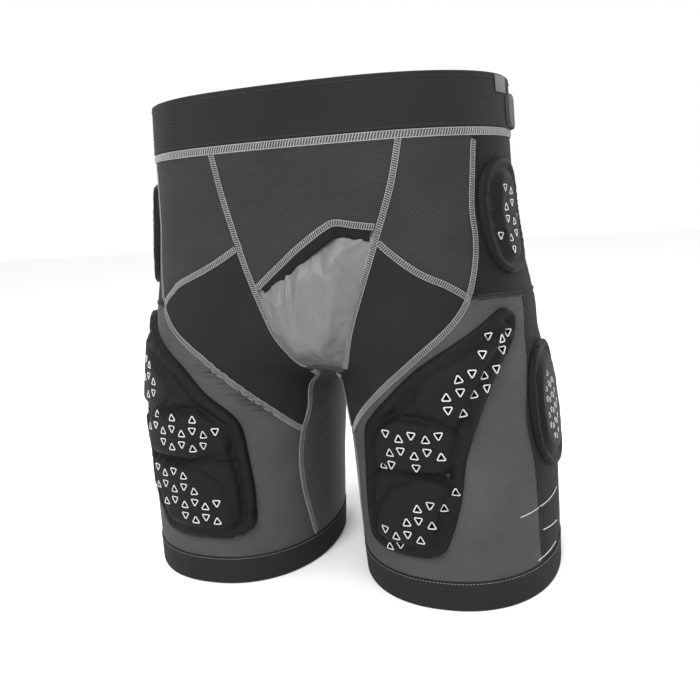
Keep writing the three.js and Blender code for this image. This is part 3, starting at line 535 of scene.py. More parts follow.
def new_object(
    name: str, points: Array, faces: Sequence[Sequence[int]], flat: Array | None = None,
) -> Piece:
    """Makes a mesh object from points in millimetres.

    Args:
        name: the piece's name.
        points: one row of x, y and z for each point.
        faces: the faces, which point outwards.
        flat: each point's place on the flat cloth in millimetres, for the weave.

    Returns:
        The new object, linked into the scene, with its own UV map if flat was given.
    """
    mesh = bpy.data.meshes.new(name)
    mesh.from_pydata((np.asarray(points, float) * MM).tolist(), [], [list(map(int, f)) for f in faces])
    if flat is not None:
        uv = mesh.uv_layers.new(name="cloth")
        corners = np.zeros(len(mesh.loops), np.int32)
        mesh.loops.foreach_get("vertex_index", corners)
        uv.data.foreach_set("uv", (np.asarray(flat, float)[corners] * MM).astype(np.float32).ravel())
    mesh.shade_smooth()
    mesh.update()
    made = bpy.data.objects.new(name, mesh)
    bpy.context.scene.collection.objects.link(made)
    return made


def set_attribute(obj: Piece, name: str, values: Array) -> None:
    """Gives each point of a mesh a number or a direction."""
    vector = np.ndim(values) == 2
    attribute = obj.data.attributes.new(name, "FLOAT_VECTOR" if vector else "FLOAT", "POINT")
    attribute.data.foreach_set("vector" if vector else "value", np.asarray(values, np.float32).ravel())


def sharpen(obj: Piece, degrees: float = 48.0) -> None:
    """Keeps the smooth shading from running round the piece's real edges."""
    obj.data.set_sharp_from_angle(angle=math.radians(degrees))


def closed_faces(triangles: Array, count: int, flip: bool) -> list[list[int]]:
    """The faces of a closed slab with the same triangles on its outer and inner side.

    Args:
        triangles: the outer side's triangles, counter-clockwise seen from outside.
        count: the number of points on one side; the inner side's points follow the outer side's.
        flip: whether the chart is mirrored, which turns the triangles over.

    Returns:
        Outer and inner triangles, and the walls round their edges.
    """
    outer = triangles[:, ::-1] if flip else triangles
    edges = np.vstack([outer[:, [0, 1]], outer[:, [1, 2]], outer[:, [2, 0]]])
    keys = np.sort(edges, 1)
    _, index, uses = np.unique(keys, axis=0, return_index=True, return_counts=True)
    rims = edges[index[uses == 1]]
    walls = [[b, a, a + count, b + count] for a, b in rims]
    return [*outer.tolist(), *(outer[:, ::-1] + count).tolist(), *walls]


@dataclass
class Tailor:
    """Makes cloth pieces on the body form."""

    form: BodyForm
    relief: ClothRelief
    arch: Array
    fly_lift: float = 4.5

    def lift(self, chart: Chart, t: Array, z: Array) -> Array:
        """How far the loose edge of the fly stands off the body at pattern places."""
        if chart is not Chart.MIDDLE:
            return np.zeros(len(t))
        girth = self.relief.girth
        arch = self.arch * np.array([girth, 1.0])
        gap = distance_to(np.stack([np.asarray(t) * girth, z], 1), arch)
        rising = soft_step(np.asarray(t), arch[0, 0] / girth, 0.06)
        along = rising * (1 - soft_step(np.asarray(t), 0.14, 0.215))
        return self.fly_lift * np.exp(-((gap / 16.0) ** 2)) * along

    def on_cloth(self, chart: Chart, t: Array, z: Array, depth: Array | float, fly: bool = False) -> Array:
        """Pattern places on the creased cloth, as points in millimetres."""
        t, z = np.asarray(t, float), np.asarray(z, float)
        raise_by = self.relief.height(chart, t, z) + np.asarray(depth, float)
        if fly:
            raise_by = raise_by + self.lift(chart, t, z)
        return self.form.place(chart, t, z, raise_by)

    def slab(
        self, name: str, chart: Chart, outline: Array, inner: float, outer: float, spacing: float = 3.0,
        girth: float = TORSO_GIRTH, edge_drop: float = 0.0, creased: bool = True, fly: bool = False,
    ) -> Piece:
        """A closed piece of cloth between two depths.

        Args:
            name: the piece's name.
            chart: the half that it is cut for.
            outline: its outline as pattern places.
            inner: the depth of its inner face.
            outer: the depth of its outer face.
            spacing: the distance between points.
            girth: millimetres of cloth for one unit of t.
            edge_drop: how far the outer face dips at the edge.
            creased: whether it follows the creases of the cloth.
            fly: whether it belongs to the loose edge of the fly.

        Returns:
            The piece, with the attribute "rim", its distance from the edge.
        """
        scale = np.array([girth, 1.0])
        cut = cut_flat(outline * scale, spacing)
        t, z = cut.points[:, 0] / girth, cut.points[:, 1]
        top = outer - edge_drop * (1 - soft_step(cut.edge, 0, 2.6))
        low = np.full(len(t), inner)
        if creased:
            rise = self.relief.height(chart, t, z) + (self.lift(chart, t, z) if fly else 0.0)
            top, low = top + rise, low + rise
        points = np.vstack([self.form.place(chart, t, z, top), self.form.place(chart, t, z, low)])
        faces = closed_faces(cut.triangles, len(t), chart is Chart.RIGHT)
        made = new_object(name, points, faces, np.vstack([cut.points, cut.points]))
        set_attribute(made, "rim", np.tile(np.minimum(cut.edge, 12.0), 2))
        sharpen(made)
        return made

    def ring(
        self, name: str, chart: Chart, profile: Array, columns: int, girth: float, span: float = 2.0,
    ) -> Piece:
        """A closed band round the waist or a hem, from a cross-section.

        Args:
            name: the piece's name.
            chart: the half, or the middle for the whole waist.
            profile: level and depth round the cross-section, up the outside and down the inside.
            columns: the number of sections round.
            girth: millimetres of cloth for one unit of t.
            span: 2 round the waist, or 1 round a leg.

        Returns:
            The band.
        """
        t = np.arange(columns) * span / columns
        count = len(profile)
        grid_t, grid_z = np.repeat(t, count), np.tile(profile[:, 0], columns)
        points = self.form.place(chart, grid_t, grid_z, np.tile(profile[:, 1], columns))
        length = np.concatenate([[0], np.cumsum(np.linalg.norm(np.diff(profile, axis=0), axis=1))])
        flat = np.stack([grid_t * girth, np.tile(length, columns)], 1)
        faces = []
        for i in range(columns):
            j = (i + 1) % columns
            for k in range(count):
                m = (k + 1) % count
                quad = [i * count + k, j * count + k, j * count + m, i * count + m]
                faces.append(quad if chart is not Chart.RIGHT else quad[::-1])
        made = new_object(name, points, faces, flat)
        set_attribute(made, "rim", np.full(len(points), 6.0))
        return made

    def run(
        self, chart: Chart, line: Array, spacing: float, depth: float, fly: bool = False,
    ) -> dict[str, Array]:
        """Even steps along a line on the cloth, for whatever follows it.

        Args:
            chart: the half that the line is on.
            line: pattern places.
            spacing: the distance between steps.
            depth: the depth of the line.
            fly: whether it follows the loose edge of the fly.

        Returns:
            The centre, outward, along and across directions, and the distance along, of each step.
        """
        scale = float(self.form.stretch(chart, line[:, 0], line[:, 1]).mean())
        even = resample(line * np.array([scale, 1.0]), spacing)
        t, z = even[:, 0] / scale, even[:, 1]
        centre = self.on_cloth(chart, t, z, depth, fly)
        out = self.form.outward(chart, t, z)
        along = np.gradient(centre, axis=0)
        along /= np.maximum(np.linalg.norm(along, axis=1, keepdims=True), 1e-9)
        across = np.cross(out, along)
        across /= np.maximum(np.linalg.norm(across, axis=1, keepdims=True), 1e-9)
        out = np.cross(along, across)
        distance = np.concatenate([[0], np.cumsum(np.linalg.norm(np.diff(centre, axis=0), axis=1))])
        return {"centre": centre, "out": out, "along": along, "across": across, "distance": distance}

    def strip(self, name: str, steps: dict[str, Array], profile: Array, closed: bool = False) -> Piece:
        """A closed strip of even cross-section along a run of steps.

        Args:
            name: the piece's name.
            steps: what run() gave.
            profile: across and out round the cross-section, counter-clockwise seen along the run.
            closed: whether the run ends where it began.

        Returns:
            The strip.
        """
        n, count = len(steps["centre"]), len(profile)
        points = (
            steps["centre"][:, None, :]
            + steps["across"][:, None, :] * profile[None, :, :1]
            + steps["out"][:, None, :] * profile[None, :, 1:]
        ).reshape(-1, 3)
        faces: list[list[int]] = []
        for i in range(n if closed else n - 1):
            j = (i + 1) % n
            for k in range(count):
                m = (k + 1) % count
                faces.append([i * count + k, i * count + m, j * count + m, j * count + k])
        if not closed:
            faces.append(list(range(count))[::-1])
            faces.append([(n - 1) * count + k for k in range(count)])
        flat = np.stack([np.repeat(steps["distance"], count), np.tile(profile[:, 0], n)], 1)
        return new_object(name, points, faces, flat)

    def guide(self, name: str, steps: dict[str, Array], closed: bool = False) -> Piece:
        """A bare line for a stitching recipe to follow, which knows the way out of the cloth."""
        n = len(steps["centre"])
        mesh = bpy.data.meshes.new(name)
        edges = [(i, i + 1) for i in range(n - 1)] + ([(n - 1, 0)] if closed else [])
        mesh.from_pydata((steps["centre"] * MM).tolist(), edges, [])
        made = bpy.data.objects.new(name, mesh)
        bpy.context.scene.collection.objects.link(made)
        set_attribute(made, "out", steps["out"])
        return made


# ---- Geometry recipes -----------------------------------------------------------------------------


class Recipe:
    """A geometry node tree with named inputs, which is run once on a piece and leaves a plain mesh."""

    def __init__(self, name: str) -> None:
        """Makes an empty tree that takes and gives geometry."""
        self.tree = bpy.data.node_groups.new(name, "GeometryNodeTree")
        self.tree.interface.new_socket("Geometry", in_out="INPUT", socket_type="NodeSocketGeometry")
        self.tree.interface.new_socket("Geometry", in_out="OUTPUT", socket_type="NodeSocketGeometry")
        self.start = self.tree.nodes.new("NodeGroupInput")
        self.end = self.tree.nodes.new("NodeGroupOutput")
        self.sockets: dict[str, str] = {}

    def size(self, name: str, default: float | int | None = None, kind: str = "Float"):
        """Adds a named input.

        Args:
            name: its name.
            default: its value unless a piece gives another.
            kind: Float, Int, Object, Material or Bool.

        Returns:
            The socket that other nodes take it from.
        """
        item = self.tree.interface.new_socket(name, in_out="INPUT", socket_type=f"NodeSocket{kind}")
        if default is not None:
            item.default_value = default
        self.sockets[name] = item.identifier
        return self.start.outputs[name]

    def node(self, kind: str, links: dict | None = None, **settings):
        """Adds a node.

        Args:
            kind: the node's type.
            links: what goes into each input, by name or place: a socket or a plain value.
            settings: the node's own settings.

        Returns:
            The node.
        """
        made = self.tree.nodes.new(kind)
        for key, value in settings.items():
            setattr(made, key, value)
        for key, value in (links or {}).items():
            socket = made.inputs[key]
            if isinstance(value, bpy.types.NodeSocket):
                self.tree.links.new(value, socket)
            else:
                socket.default_value = value
        return made

    def math(self, operation: str, a, b=0.0):
        """A sum of two numbers or sockets, as a socket."""
        return self.node("ShaderNodeMath", {0: a, 1: b}, operation=operation).outputs[0]

    def vector(self, operation: str, a, b=None, scale=None):
        """A sum of two directions, as a socket."""
        links = {0: a} | ({1: b} if b is not None else {}) | ({"Scale": scale} if scale is not None else {})
        made = self.node("ShaderNodeVectorMath", links, operation=operation)
        return made.outputs[0]

    def xyz(self, x=0.0, y=0.0, z=0.0):
        """A direction from three numbers or sockets."""
        return self.node("ShaderNodeCombineXYZ", {0: x, 1: y, 2: z}).outputs[0]

    def direction(self, name: str):
        """A direction that each point carries, as a socket."""
        made = self.node("GeometryNodeInputNamedAttribute", {"Name": name}, data_type="FLOAT_VECTOR")
        return made.outputs[0]

    def facing(self, out, other):
        """The turn that stands something up along out, with its x towards other."""
        links = {"Primary Axis": out, "Secondary Axis": other}
        return self.node("FunctionNodeAxesToRotation", links, primary_axis="Z", secondary_axis="X").outputs[0]

    def evened(self, pitch):
        """The points along the piece's own line, one for each pitch."""
        curve = self.node("GeometryNodeMeshToCurve", {"Mesh": self.start.outputs[0]}).outputs[0]
        links = {"Curve": curve, "Length": pitch}
        return self.node("GeometryNodeResampleCurve", links, mode="LENGTH").outputs[0]

    def rod(self, path, radius, sides: int = 6, capped: bool = True):
        """A round thread along a path."""
        ring = {"Resolution": sides, "Radius": radius}
        profile = self.node("GeometryNodeCurvePrimitiveCircle", ring, mode="RADIUS").outputs[0]
        links = {"Curve": path, "Profile Curve": profile, "Fill Caps": capped}
        return self.node("GeometryNodeCurveToMesh", links).outputs[0]

    def sizes(self, uneven, seed):
        """A slightly different size for each copy."""
        low, high = self.math("SUBTRACT", 1.0, uneven), self.math("ADD", 1.0, uneven)
        links = {"Min": self.xyz(low, low, low), "Max": self.xyz(high, high, high), "Seed": seed}
        return self.node("FunctionNodeRandomValue", links, data_type="FLOAT_VECTOR").outputs[0]

    def copies(self, points, thing, turn, **more):
        """A copy of something on each point."""
        links = {"Points": points, "Instance": thing, "Rotation": turn} | more
        return self.node("GeometryNodeInstanceOnPoints", links).outputs[0]

    def finish(self, geometry, material) -> None:
        """Ends the tree with real geometry in a material."""
        real = self.node("GeometryNodeRealizeInstances", {"Geometry": geometry})
        painted = self.node("GeometryNodeSetMaterial", {"Geometry": real.outputs[0], "Material": material})
        smooth = self.node("GeometryNodeSetShadeSmooth", {"Geometry": painted.outputs[0]})
        self.tree.links.new(smooth.outputs[0], self.end.inputs[0])

    def run_on(self, obj: Piece, **values) -> Piece:
        """Runs the recipe on a piece and leaves a plain mesh.

        Args:
            obj: the piece.
            values: the inputs by name, with _ for a space.

        Returns:
            The same object with its new mesh.
        """
        modifier = obj.modifiers.new(self.tree.name, "NODES")
        modifier.node_group = self.tree
        for name, value in values.items():
            modifier[self.sockets[name.replace("_", " ")]] = value
        graph = bpy.context.evaluated_depsgraph_get()
        done = obj.evaluated_get(graph)
        mesh = bpy.data.meshes.new_from_object(done, preserve_all_data_layers=True, depsgraph=graph)
        obj.modifiers.clear()
        old, obj.data = obj.data, mesh
        name = old.name
        bpy.data.meshes.remove(old)
        mesh.name = name
        return obj


def flatlock_recipe() -> Recipe:
    """Threads that cross a seam like the rungs of a ladder, between two edge threads."""
    r = Recipe("Flatlock Stitches")
    pitch = r.size("Pitch", 0.0018)
    width = r.size("Stitch Width", 0.0046)
    radius = r.size("Thread Radius", 0.0004)
    lean = r.size("Lean", 0.0004)
    crown = r.size("Crown", 0.0005)
    uneven = r.size("Uneven", 0.08)
    seed = r.size("Seed", SEED, "Int")
    thread = r.size("Thread", kind="Material")
    even = r.evened(pitch)
    out = r.direction("out")
    along = r.node("GeometryNodeInputTangent").outputs[0]
    turn = r.facing(out, along)
    half = r.math("MULTIPLY", width, 0.5)
    rung = r.node("GeometryNodeCurveQuadraticBezier", {
        "Resolution": 5,
        "Start": r.xyz(r.math("MULTIPLY", lean, -1.0), r.math("MULTIPLY", half, -1.0), 0.0),
        "Middle": r.xyz(0.0, 0.0, r.math("MULTIPLY", crown, 2.0)),
        "End": r.xyz(lean, half, 0.0),
    }).outputs[0]
    rod = r.rod(rung, radius)
    rungs = r.copies(even, rod, turn, Scale=r.sizes(uneven, seed))
    side = r.vector("NORMALIZE", r.vector("CROSS_PRODUCT", out, along))
    edges = []
    for way in (-0.5, 0.5):
        moved = r.node("GeometryNodeSetPosition", {
            "Geometry": even, "Offset": r.vector("SCALE", side, scale=r.math("MULTIPLY", width, way)),
        }).outputs[0]
        edges.append(r.rod(moved, r.math("MULTIPLY", radius, 0.9), 5))
    joined = r.node("GeometryNodeJoinGeometry")
    for part in (rungs, *edges):
        r.tree.links.new(part, joined.inputs[0])
    r.finish(joined.outputs[0], thread)
    return r


def running_stitch_recipe() -> Recipe:
    """Short threads one after another along a line, each dipping into the cloth at its ends."""
    r = Recipe("Running Stitches")
    pitch = r.size("Pitch", 0.003)
    length = r.size("Stitch Length", 0.0022)
    radius = r.size("Thread Radius", 0.00028)
    uneven = r.size("Uneven", 0.1)
    seed = r.size("Seed", SEED, "Int")
    thread = r.size("Thread", kind="Material")
    even = r.evened(pitch)
    out = r.direction("out")
    along = r.node("GeometryNodeInputTangent").outputs[0]
    turn = r.facing(out, along)
    half = r.math("MULTIPLY", length, 0.5)
    sink = r.math("MULTIPLY", radius, -0.9)
    dash = r.node("GeometryNodeCurveQuadraticBezier", {
        "Resolution": 4, "Start": r.xyz(r.math("MULTIPLY", half, -1.0), 0.0, sink),
        "Middle": r.xyz(0.0, 0.0, r.math("MULTIPLY", radius, 1.8)), "End": r.xyz(half, 0.0, sink),
    }).outputs[0]
    rod = r.rod(dash, radius)
    r.finish(r.copies(even, rod, turn, Scale=r.sizes(uneven, seed)), thread)
    return r


def vent_opening_recipe() -> Recipe:
    """Cuts three-cornered vents into a cover: a shallow seat for each rim, with a deeper hole in it."""
    r = Recipe("Vent Openings")
    marks = r.size("Marks", kind="Object")
    seat = r.size("Seat Radius", 0.0049)
    depth = r.size("Seat Depth", 0.0009)
    hole = r.size("Hole Radius", 0.0026)
    hole_depth = r.size("Hole Depth", 0.0035)
    lining = r.size("Lining", kind="Material")
    info = r.node("GeometryNodeObjectInfo", {"Object": marks}, transform_space="ORIGINAL").outputs["Geometry"]
    out = r.direction("out")
    point = r.direction("point_way")
    turn = r.facing(out, point)
    cutters = []
    for radius, deep in ((seat, depth), (hole, hole_depth)):
        above = 0.002
        prism = r.node("GeometryNodeMeshCylinder", {
            "Vertices": 3, "Radius": radius, "Depth": r.math("ADD", deep, above),
        }).outputs["Mesh"]
        middle = r.math("MULTIPLY", r.math("SUBTRACT", above, deep), 0.5)
        lowered = {"Geometry": prism, "Translation": r.xyz(0.0, 0.0, middle)}
        moved = r.node("GeometryNodeTransform", lowered).outputs[0]
        dark = r.node("GeometryNodeSetMaterial", {"Geometry": moved, "Material": lining}).outputs[0]
        placed = r.copies(info, dark, turn)
        cutters.append(r.node("GeometryNodeRealizeInstances", {"Geometry": placed}).outputs[0])
    body = r.start.outputs[0]
    for cutter in cutters:
        cut = r.node("GeometryNodeMeshBoolean", {"Mesh 1": body, "Mesh 2": cutter}, operation="DIFFERENCE",
                     solver="EXACT")
        body = cut.outputs[0]
    smooth = r.node("GeometryNodeSetShadeSmooth", {"Geometry": body})
    r.tree.links.new(smooth.outputs[0], r.end.inputs[0])
    return r


def vent_rim_recipe() -> Recipe:
    """Rounded three-cornered foam rims, one on each mark."""
    r = Recipe("Vent Rims")
    radius = r.size("Rim Radius", 0.0036)
    bead = r.size("Bead Radius", 0.00068)
    corner = r.size("Corner Radius", 0.0009)
    flatness = r.size("Flatness", 0.75)
    sink = r.size("Sink", 0.0004)
    foam = r.size("Foam", kind="Material")
    out = r.direction("out")
    point = r.direction("point_way")
    turn = r.facing(out, point)
    three = {"Resolution": 3, "Radius": radius}
    path = r.node("GeometryNodeCurvePrimitiveCircle", three, mode="RADIUS").outputs[0]
    corners = {"Curve": path, "Count": 3, "Radius": corner}
    rounded = r.node("GeometryNodeFilletCurve", corners, mode="POLY").outputs[0]
    tube = r.rod(rounded, bead, capped=False)
    rim = r.node("GeometryNodeTransform", {
        "Geometry": tube, "Translation": r.xyz(0.0, 0.0, r.math("MULTIPLY", sink, -1.0)),
        "Scale": r.xyz(1.0, 1.0, flatness),
    }).outputs[0]
    r.finish(r.copies(r.start.outputs[0], rim, turn), foam)
    return r


# ---- Cloth finishes -------------------------------------------------------------------------------


class Wire:
    """A shader socket that can be reckoned with like a number."""

    def __init__(self, tree: bpy.types.NodeTree, socket: bpy.types.NodeSocket) -> None:
        """Takes a socket of a node tree."""
        self.tree = tree
        self.socket = socket

    def reckon(self, operation: str, *values) -> "Wire":
        """One sum of numbers and wires, this wire among them where a value is None."""
        made = self.tree.nodes.new("ShaderNodeMath")
        made.operation = operation
        for slot, value in zip(made.inputs, values):
            value = self if value is None else value
            if isinstance(value, Wire):
                self.tree.links.new(value.socket, slot)
            else:
                slot.default_value = value
        return Wire(self.tree, made.outputs[0])

    def __add__(self, other) -> "Wire":
        """Adds."""
        return self.reckon("ADD", None, other)

    def __sub__(self, other) -> "Wire":
        """Takes away."""
        return self.reckon("SUBTRACT", None, other)

    def __rsub__(self, other) -> "Wire":
        """Is taken away."""
        return self.reckon("SUBTRACT", other, None)

    def __mul__(self, other) -> "Wire":
        """Multiplies."""
        return self.reckon("MULTIPLY", None, other)

    def fract(self) -> "Wire":
        """The part after the point."""
        return self.reckon("FRACT", None)

    def floor(self) -> "Wire":
        """The whole number below."""
        return self.reckon("FLOOR", None)

    def size(self) -> "Wire":
        """The number without its sign."""
        return self.reckon("ABSOLUTE", None)

    def wave(self, turns: float = 1.0) -> "Wire":
        """A wave from nought to one, with one top for each whole number."""
        return (self * (2 * math.pi * turns)).reckon("SINE", None) * 0.5 + 0.5

    def rise(self, low: float, high: float) -> "Wire":
        """Nought below low, one above high and smooth between."""
        made = self.tree.nodes.new("ShaderNodeMapRange")
        made.interpolation_type = "SMOOTHSTEP"
        self.tree.links.new(self.socket, made.inputs["Value"])
        made.inputs["From Min"].default_value = low
        made.inputs["From Max"].default_value = high
        return Wire(self.tree, made.outputs["Result"])


def shader_group(name: str, inputs: dict[str, tuple[str, object]], outputs: dict[str, str]):
    """Starts a shader node group.

    Args:
        name: its name.
        inputs: each input's kind and plain value.
        outputs: each output's kind.

    Returns:
        The group, and its input and output nodes.
    """
    tree = bpy.data.node_groups.new(name, "ShaderNodeTree")
    for label, (kind, value) in inputs.items():
        socket = tree.interface.new_socket(label, in_out="INPUT", socket_type=f"NodeSocket{kind}")
        socket.default_value = value
    for label, kind in outputs.items():
        tree.interface.new_socket(label, in_out="OUTPUT", socket_type=f"NodeSocket{kind}")
    return tree, tree.nodes.new("NodeGroupInput"), tree.nodes.new("NodeGroupOutput")


def noise(tree: bpy.types.NodeTree, place, scale: float, detail: float = 2.0) -> Wire:
    """Cloudy noise from nought to one at a place."""
    made = tree.nodes.new("ShaderNodeTexNoise")
    tree.links.new(place, made.inputs["Vector"])
    made.inputs["Scale"].default_value = scale
    made.inputs["Detail"].default_value = detail
    return Wire(tree, made.outputs[0])


def weave_group(weave: Weave) -> bpy.types.NodeTree:
    """The face of one weave: how high its threads stand, and where the gaps between them are, which are
    darkened as painted shade.

    Args:
        weave: which weave.

    Returns:
        A group from a cloth place and a pitch, in metres, to Height and to the gap mask for painted shade.
    """
    tree, start, end = shader_group(
        f"{weave.value.title()} Weave",
        {"Cloth Place": ("Vector", (0.0, 0.0, 0.0)), "Pitch": ("Float", 0.0013)},
        {"Height": "Float", "Gap": "Float"},
    )
    split = tree.nodes.new("ShaderNodeSeparateXYZ")
    tree.links.new(start.outputs["Cloth Place"], split.inputs[0])
    pitch = Wire(tree, start.outputs["Pitch"])
    u = Wire(tree, split.outputs[0]).reckon("DIVIDE", None, pitch)
    v = Wire(tree, split.outputs[1]).reckon("DIVIDE", None, pitch)
    # Each weave's gap mask marks where its threads sink; the tone darkens the colour there, painted shade
    # between the threads.
    if weave is Weave.KNIT:
        side = (u.fract() - 0.5).size()
        height = (v + side).wave() * (1.0 - (side - 0.25).size() * 1.6)
        gap = 1.0 - height.rise(0.05, 0.35)
    elif weave is Weave.MESH:
        offset = v.floor() * 0.5
        x, y = (u + offset).fract() - 0.5, v.fract() - 0.5
        hole = (x * x + y * y).reckon("SQRT", None)
        gap = 1.0 - hole.rise(0.2, 0.38)
        height = (1.0 - gap) * ((u + v).wave() * 0.3 + 0.7)
    elif weave is Weave.SATIN:
        height = (u + v * 0.45).wave() * 0.7 + (v * 2.0).wave() * 0.3
        gap = 1.0 - height.rise(0.0, 0.4)
    elif weave is Weave.RIB:
        rib = ((u.fract() - 0.5).size() * 2.0).rise(0.0, 0.8)
        height = rib * ((v * 1.4 + u.floor() * 0.5).wave() * 0.35 + 0.65)
        gap = 1.0 - height.rise(0.1, 0.4)
    else:
        height = (u * 0.5).wave() * (v * 0.5).wave() * 0.6 + (u.wave() + v.wave()) * 0.2
        gap = 1.0 - height.rise(0.05, 0.3)
    tree.links.new(height.socket, end.inputs["Height"])
    tree.links.new(gap.socket, end.inputs["Gap"])
    return tree


def tone_group() -> bpy.types.NodeTree:
    """How dye, lint and painted shade in the gaps of the weave vary a cloth's colour and roughness."""
    tree, start, end = shader_group(
        "Cloth Tone",
        {
            "Place": ("Vector", (0.0, 0.0, 0.0)), "Colour": ("Color", (0.05, 0.05, 0.05, 1.0)),
            "Gap": ("Float", 0.0), "Gap Strength": ("Float", 0.5), "Lint": ("Float", 0.0),
            "Base Roughness": ("Float", 0.8),
        },
        {"Colour": "Color", "Roughness": "Float"},
    )
    place = start.outputs["Place"]
    large, fine = noise(tree, place, 26.0, 3.0), noise(tree, place, 850.0)
    fluff = noise(tree, place, 1500.0, 1.0).rise(0.66, 0.8) * Wire(tree, start.outputs["Lint"])
    # Painted shade: the colour is darkened in the gaps between the threads.
    gap = Wire(tree, start.outputs["Gap"]) * Wire(tree, start.outputs["Gap Strength"])
    tone = ((large - 0.5) * 0.55 + 1.0) * ((fine - 0.5) * 0.4 + 1.0) * (1.0 - gap)
    scaled = tree.nodes.new("ShaderNodeVectorMath")
    scaled.operation = "SCALE"
    tree.links.new(start.outputs["Colour"], scaled.inputs[0])
    tree.links.new(tone.socket, scaled.inputs["Scale"])
    mixed = tree.nodes.new("ShaderNodeMix")
    mixed.data_type = "RGBA"
    tree.links.new(fluff.socket, mixed.inputs["Factor"])
    tree.links.new(scaled.outputs[0], mixed.inputs["A"])
    mixed.inputs["B"].default_value = (0.5, 0.5, 0.5, 1.0)
    tree.links.new(mixed.outputs["Result"], end.inputs["Colour"])
    rough = Wire(tree, start.outputs["Base Roughness"]) + (large - 0.5) * 0.16 + (fine - 0.5) * 0.1
    tree.links.new(rough.socket, end.inputs["Roughness"])
    return tree


@dataclass(frozen=True)
class Finish:
    """How one kind of cloth, thread or foam looks."""

    name: str
    colour: tuple[float, float, float]
    weave: Weave
    pitch: float = 0.0013
    relief: float = 0.00025
    # How dark the weave's gaps are painted: painted shade between the threads.
    gaps: float = 0.5
    roughness: float = 0.85
    sheen: float = 0.25
    shine: float = 0.3
    lint: float = 0.0


def thread(name: str, colour: tuple[float, float, float], sheen: float = 0.03) -> Finish:
    """The finish of a twisted thread."""
    return Finish(name, colour, Weave.TWIST, relief=0.00012, roughness=0.75, sheen=sheen)


class Finishes:
    """Every finish of the shorts."""

    MESH = Finish("open_knit", (0.026, 0.026, 0.028), Weave.MESH, 0.0016, 0.0003, 0.55, 0.85, 0.02, 0.1)
    LEG_MESH = Finish("leg_knit", (0.056, 0.056, 0.058), Weave.MESH, 0.0015, 0.0003, 0.5, 0.85, 0.03, 0.1)
    THIGH = Finish("smooth_jersey", (0.013, 0.013, 0.0145), Weave.KNIT, 0.0011, 0.00016, 0.35, 0.8,
                   0.015, 0.1)
    SIDE = Finish("side_stretch", (0.008, 0.008, 0.009), Weave.KNIT, 0.0012, 0.0002, 0.4, 0.75, 0.012, 0.1)
    PAD = Finish("brushed_cover", (0.006, 0.006, 0.0067), Weave.KNIT, 0.0009, 0.0001, 0.25, 0.6, 0.008, 0.1)
    BAND = Finish("elastic_webbing", (0.015, 0.015, 0.016), Weave.RIB, 0.0011, 0.0002, 0.4, 0.85, 0.02, 0.12)
    STRAP = Finish("strap_webbing", (0.075, 0.075, 0.078), Weave.WOVEN, 0.0011, 0.0002, 0.5, 0.85, 0.02, 0.15)
    SATIN = Finish("satin_lining", (0.10, 0.10, 0.104), Weave.SATIN, 0.0009, 0.00006, 0.16, 0.42, 0.02, 0.4)
    GUSSET = Finish("gusset_satin", (0.046, 0.046, 0.049), Weave.KNIT, 0.0011, 0.00012, 0.3, 0.6, 0.03, 0.25)
    TAPE = Finish("seam_tape", (0.055, 0.055, 0.058), Weave.WOVEN, 0.0012, 0.00015, 0.4, 0.85, 0.02, 0.15)
    THREAD = thread("flatlock_thread", (0.175, 0.175, 0.178))
    WAIST_THREAD = thread("waist_thread", (0.21, 0.21, 0.213))
    DARK_THREAD = thread("dark_thread", (0.018, 0.018, 0.020), 0.02)
    LIGHT_THREAD = Finish(
        "light_thread", (0.42, 0.42, 0.43), Weave.TWIST, relief=0.0001, roughness=0.65, sheen=0.03,
    )
    FOAM = Finish(
        "vent_foam", (0.42, 0.42, 0.43), Weave.PLAIN, relief=0.00008, roughness=0.6, sheen=0.0, shine=0.4,
    )
    LINING = Finish(
        "vent_lining", (0.006, 0.006, 0.007), Weave.PLAIN, relief=0.0002, roughness=0.95, sheen=0.0,
        shine=0.1,
    )
    LOOP = Finish("loop_pile", (0.10, 0.10, 0.105), Weave.PLAIN, relief=0.0003, roughness=0.9, sheen=0.1)
    HOOK = Finish("hook_tape", (0.05, 0.05, 0.053), Weave.PLAIN, relief=0.0002, roughness=0.6, sheen=0.0)
    LABEL = Finish("woven_label", (0.010, 0.010, 0.011), Weave.WOVEN, 0.0006, 0.00006, 0.3, 0.5, 0.02, 0.4)


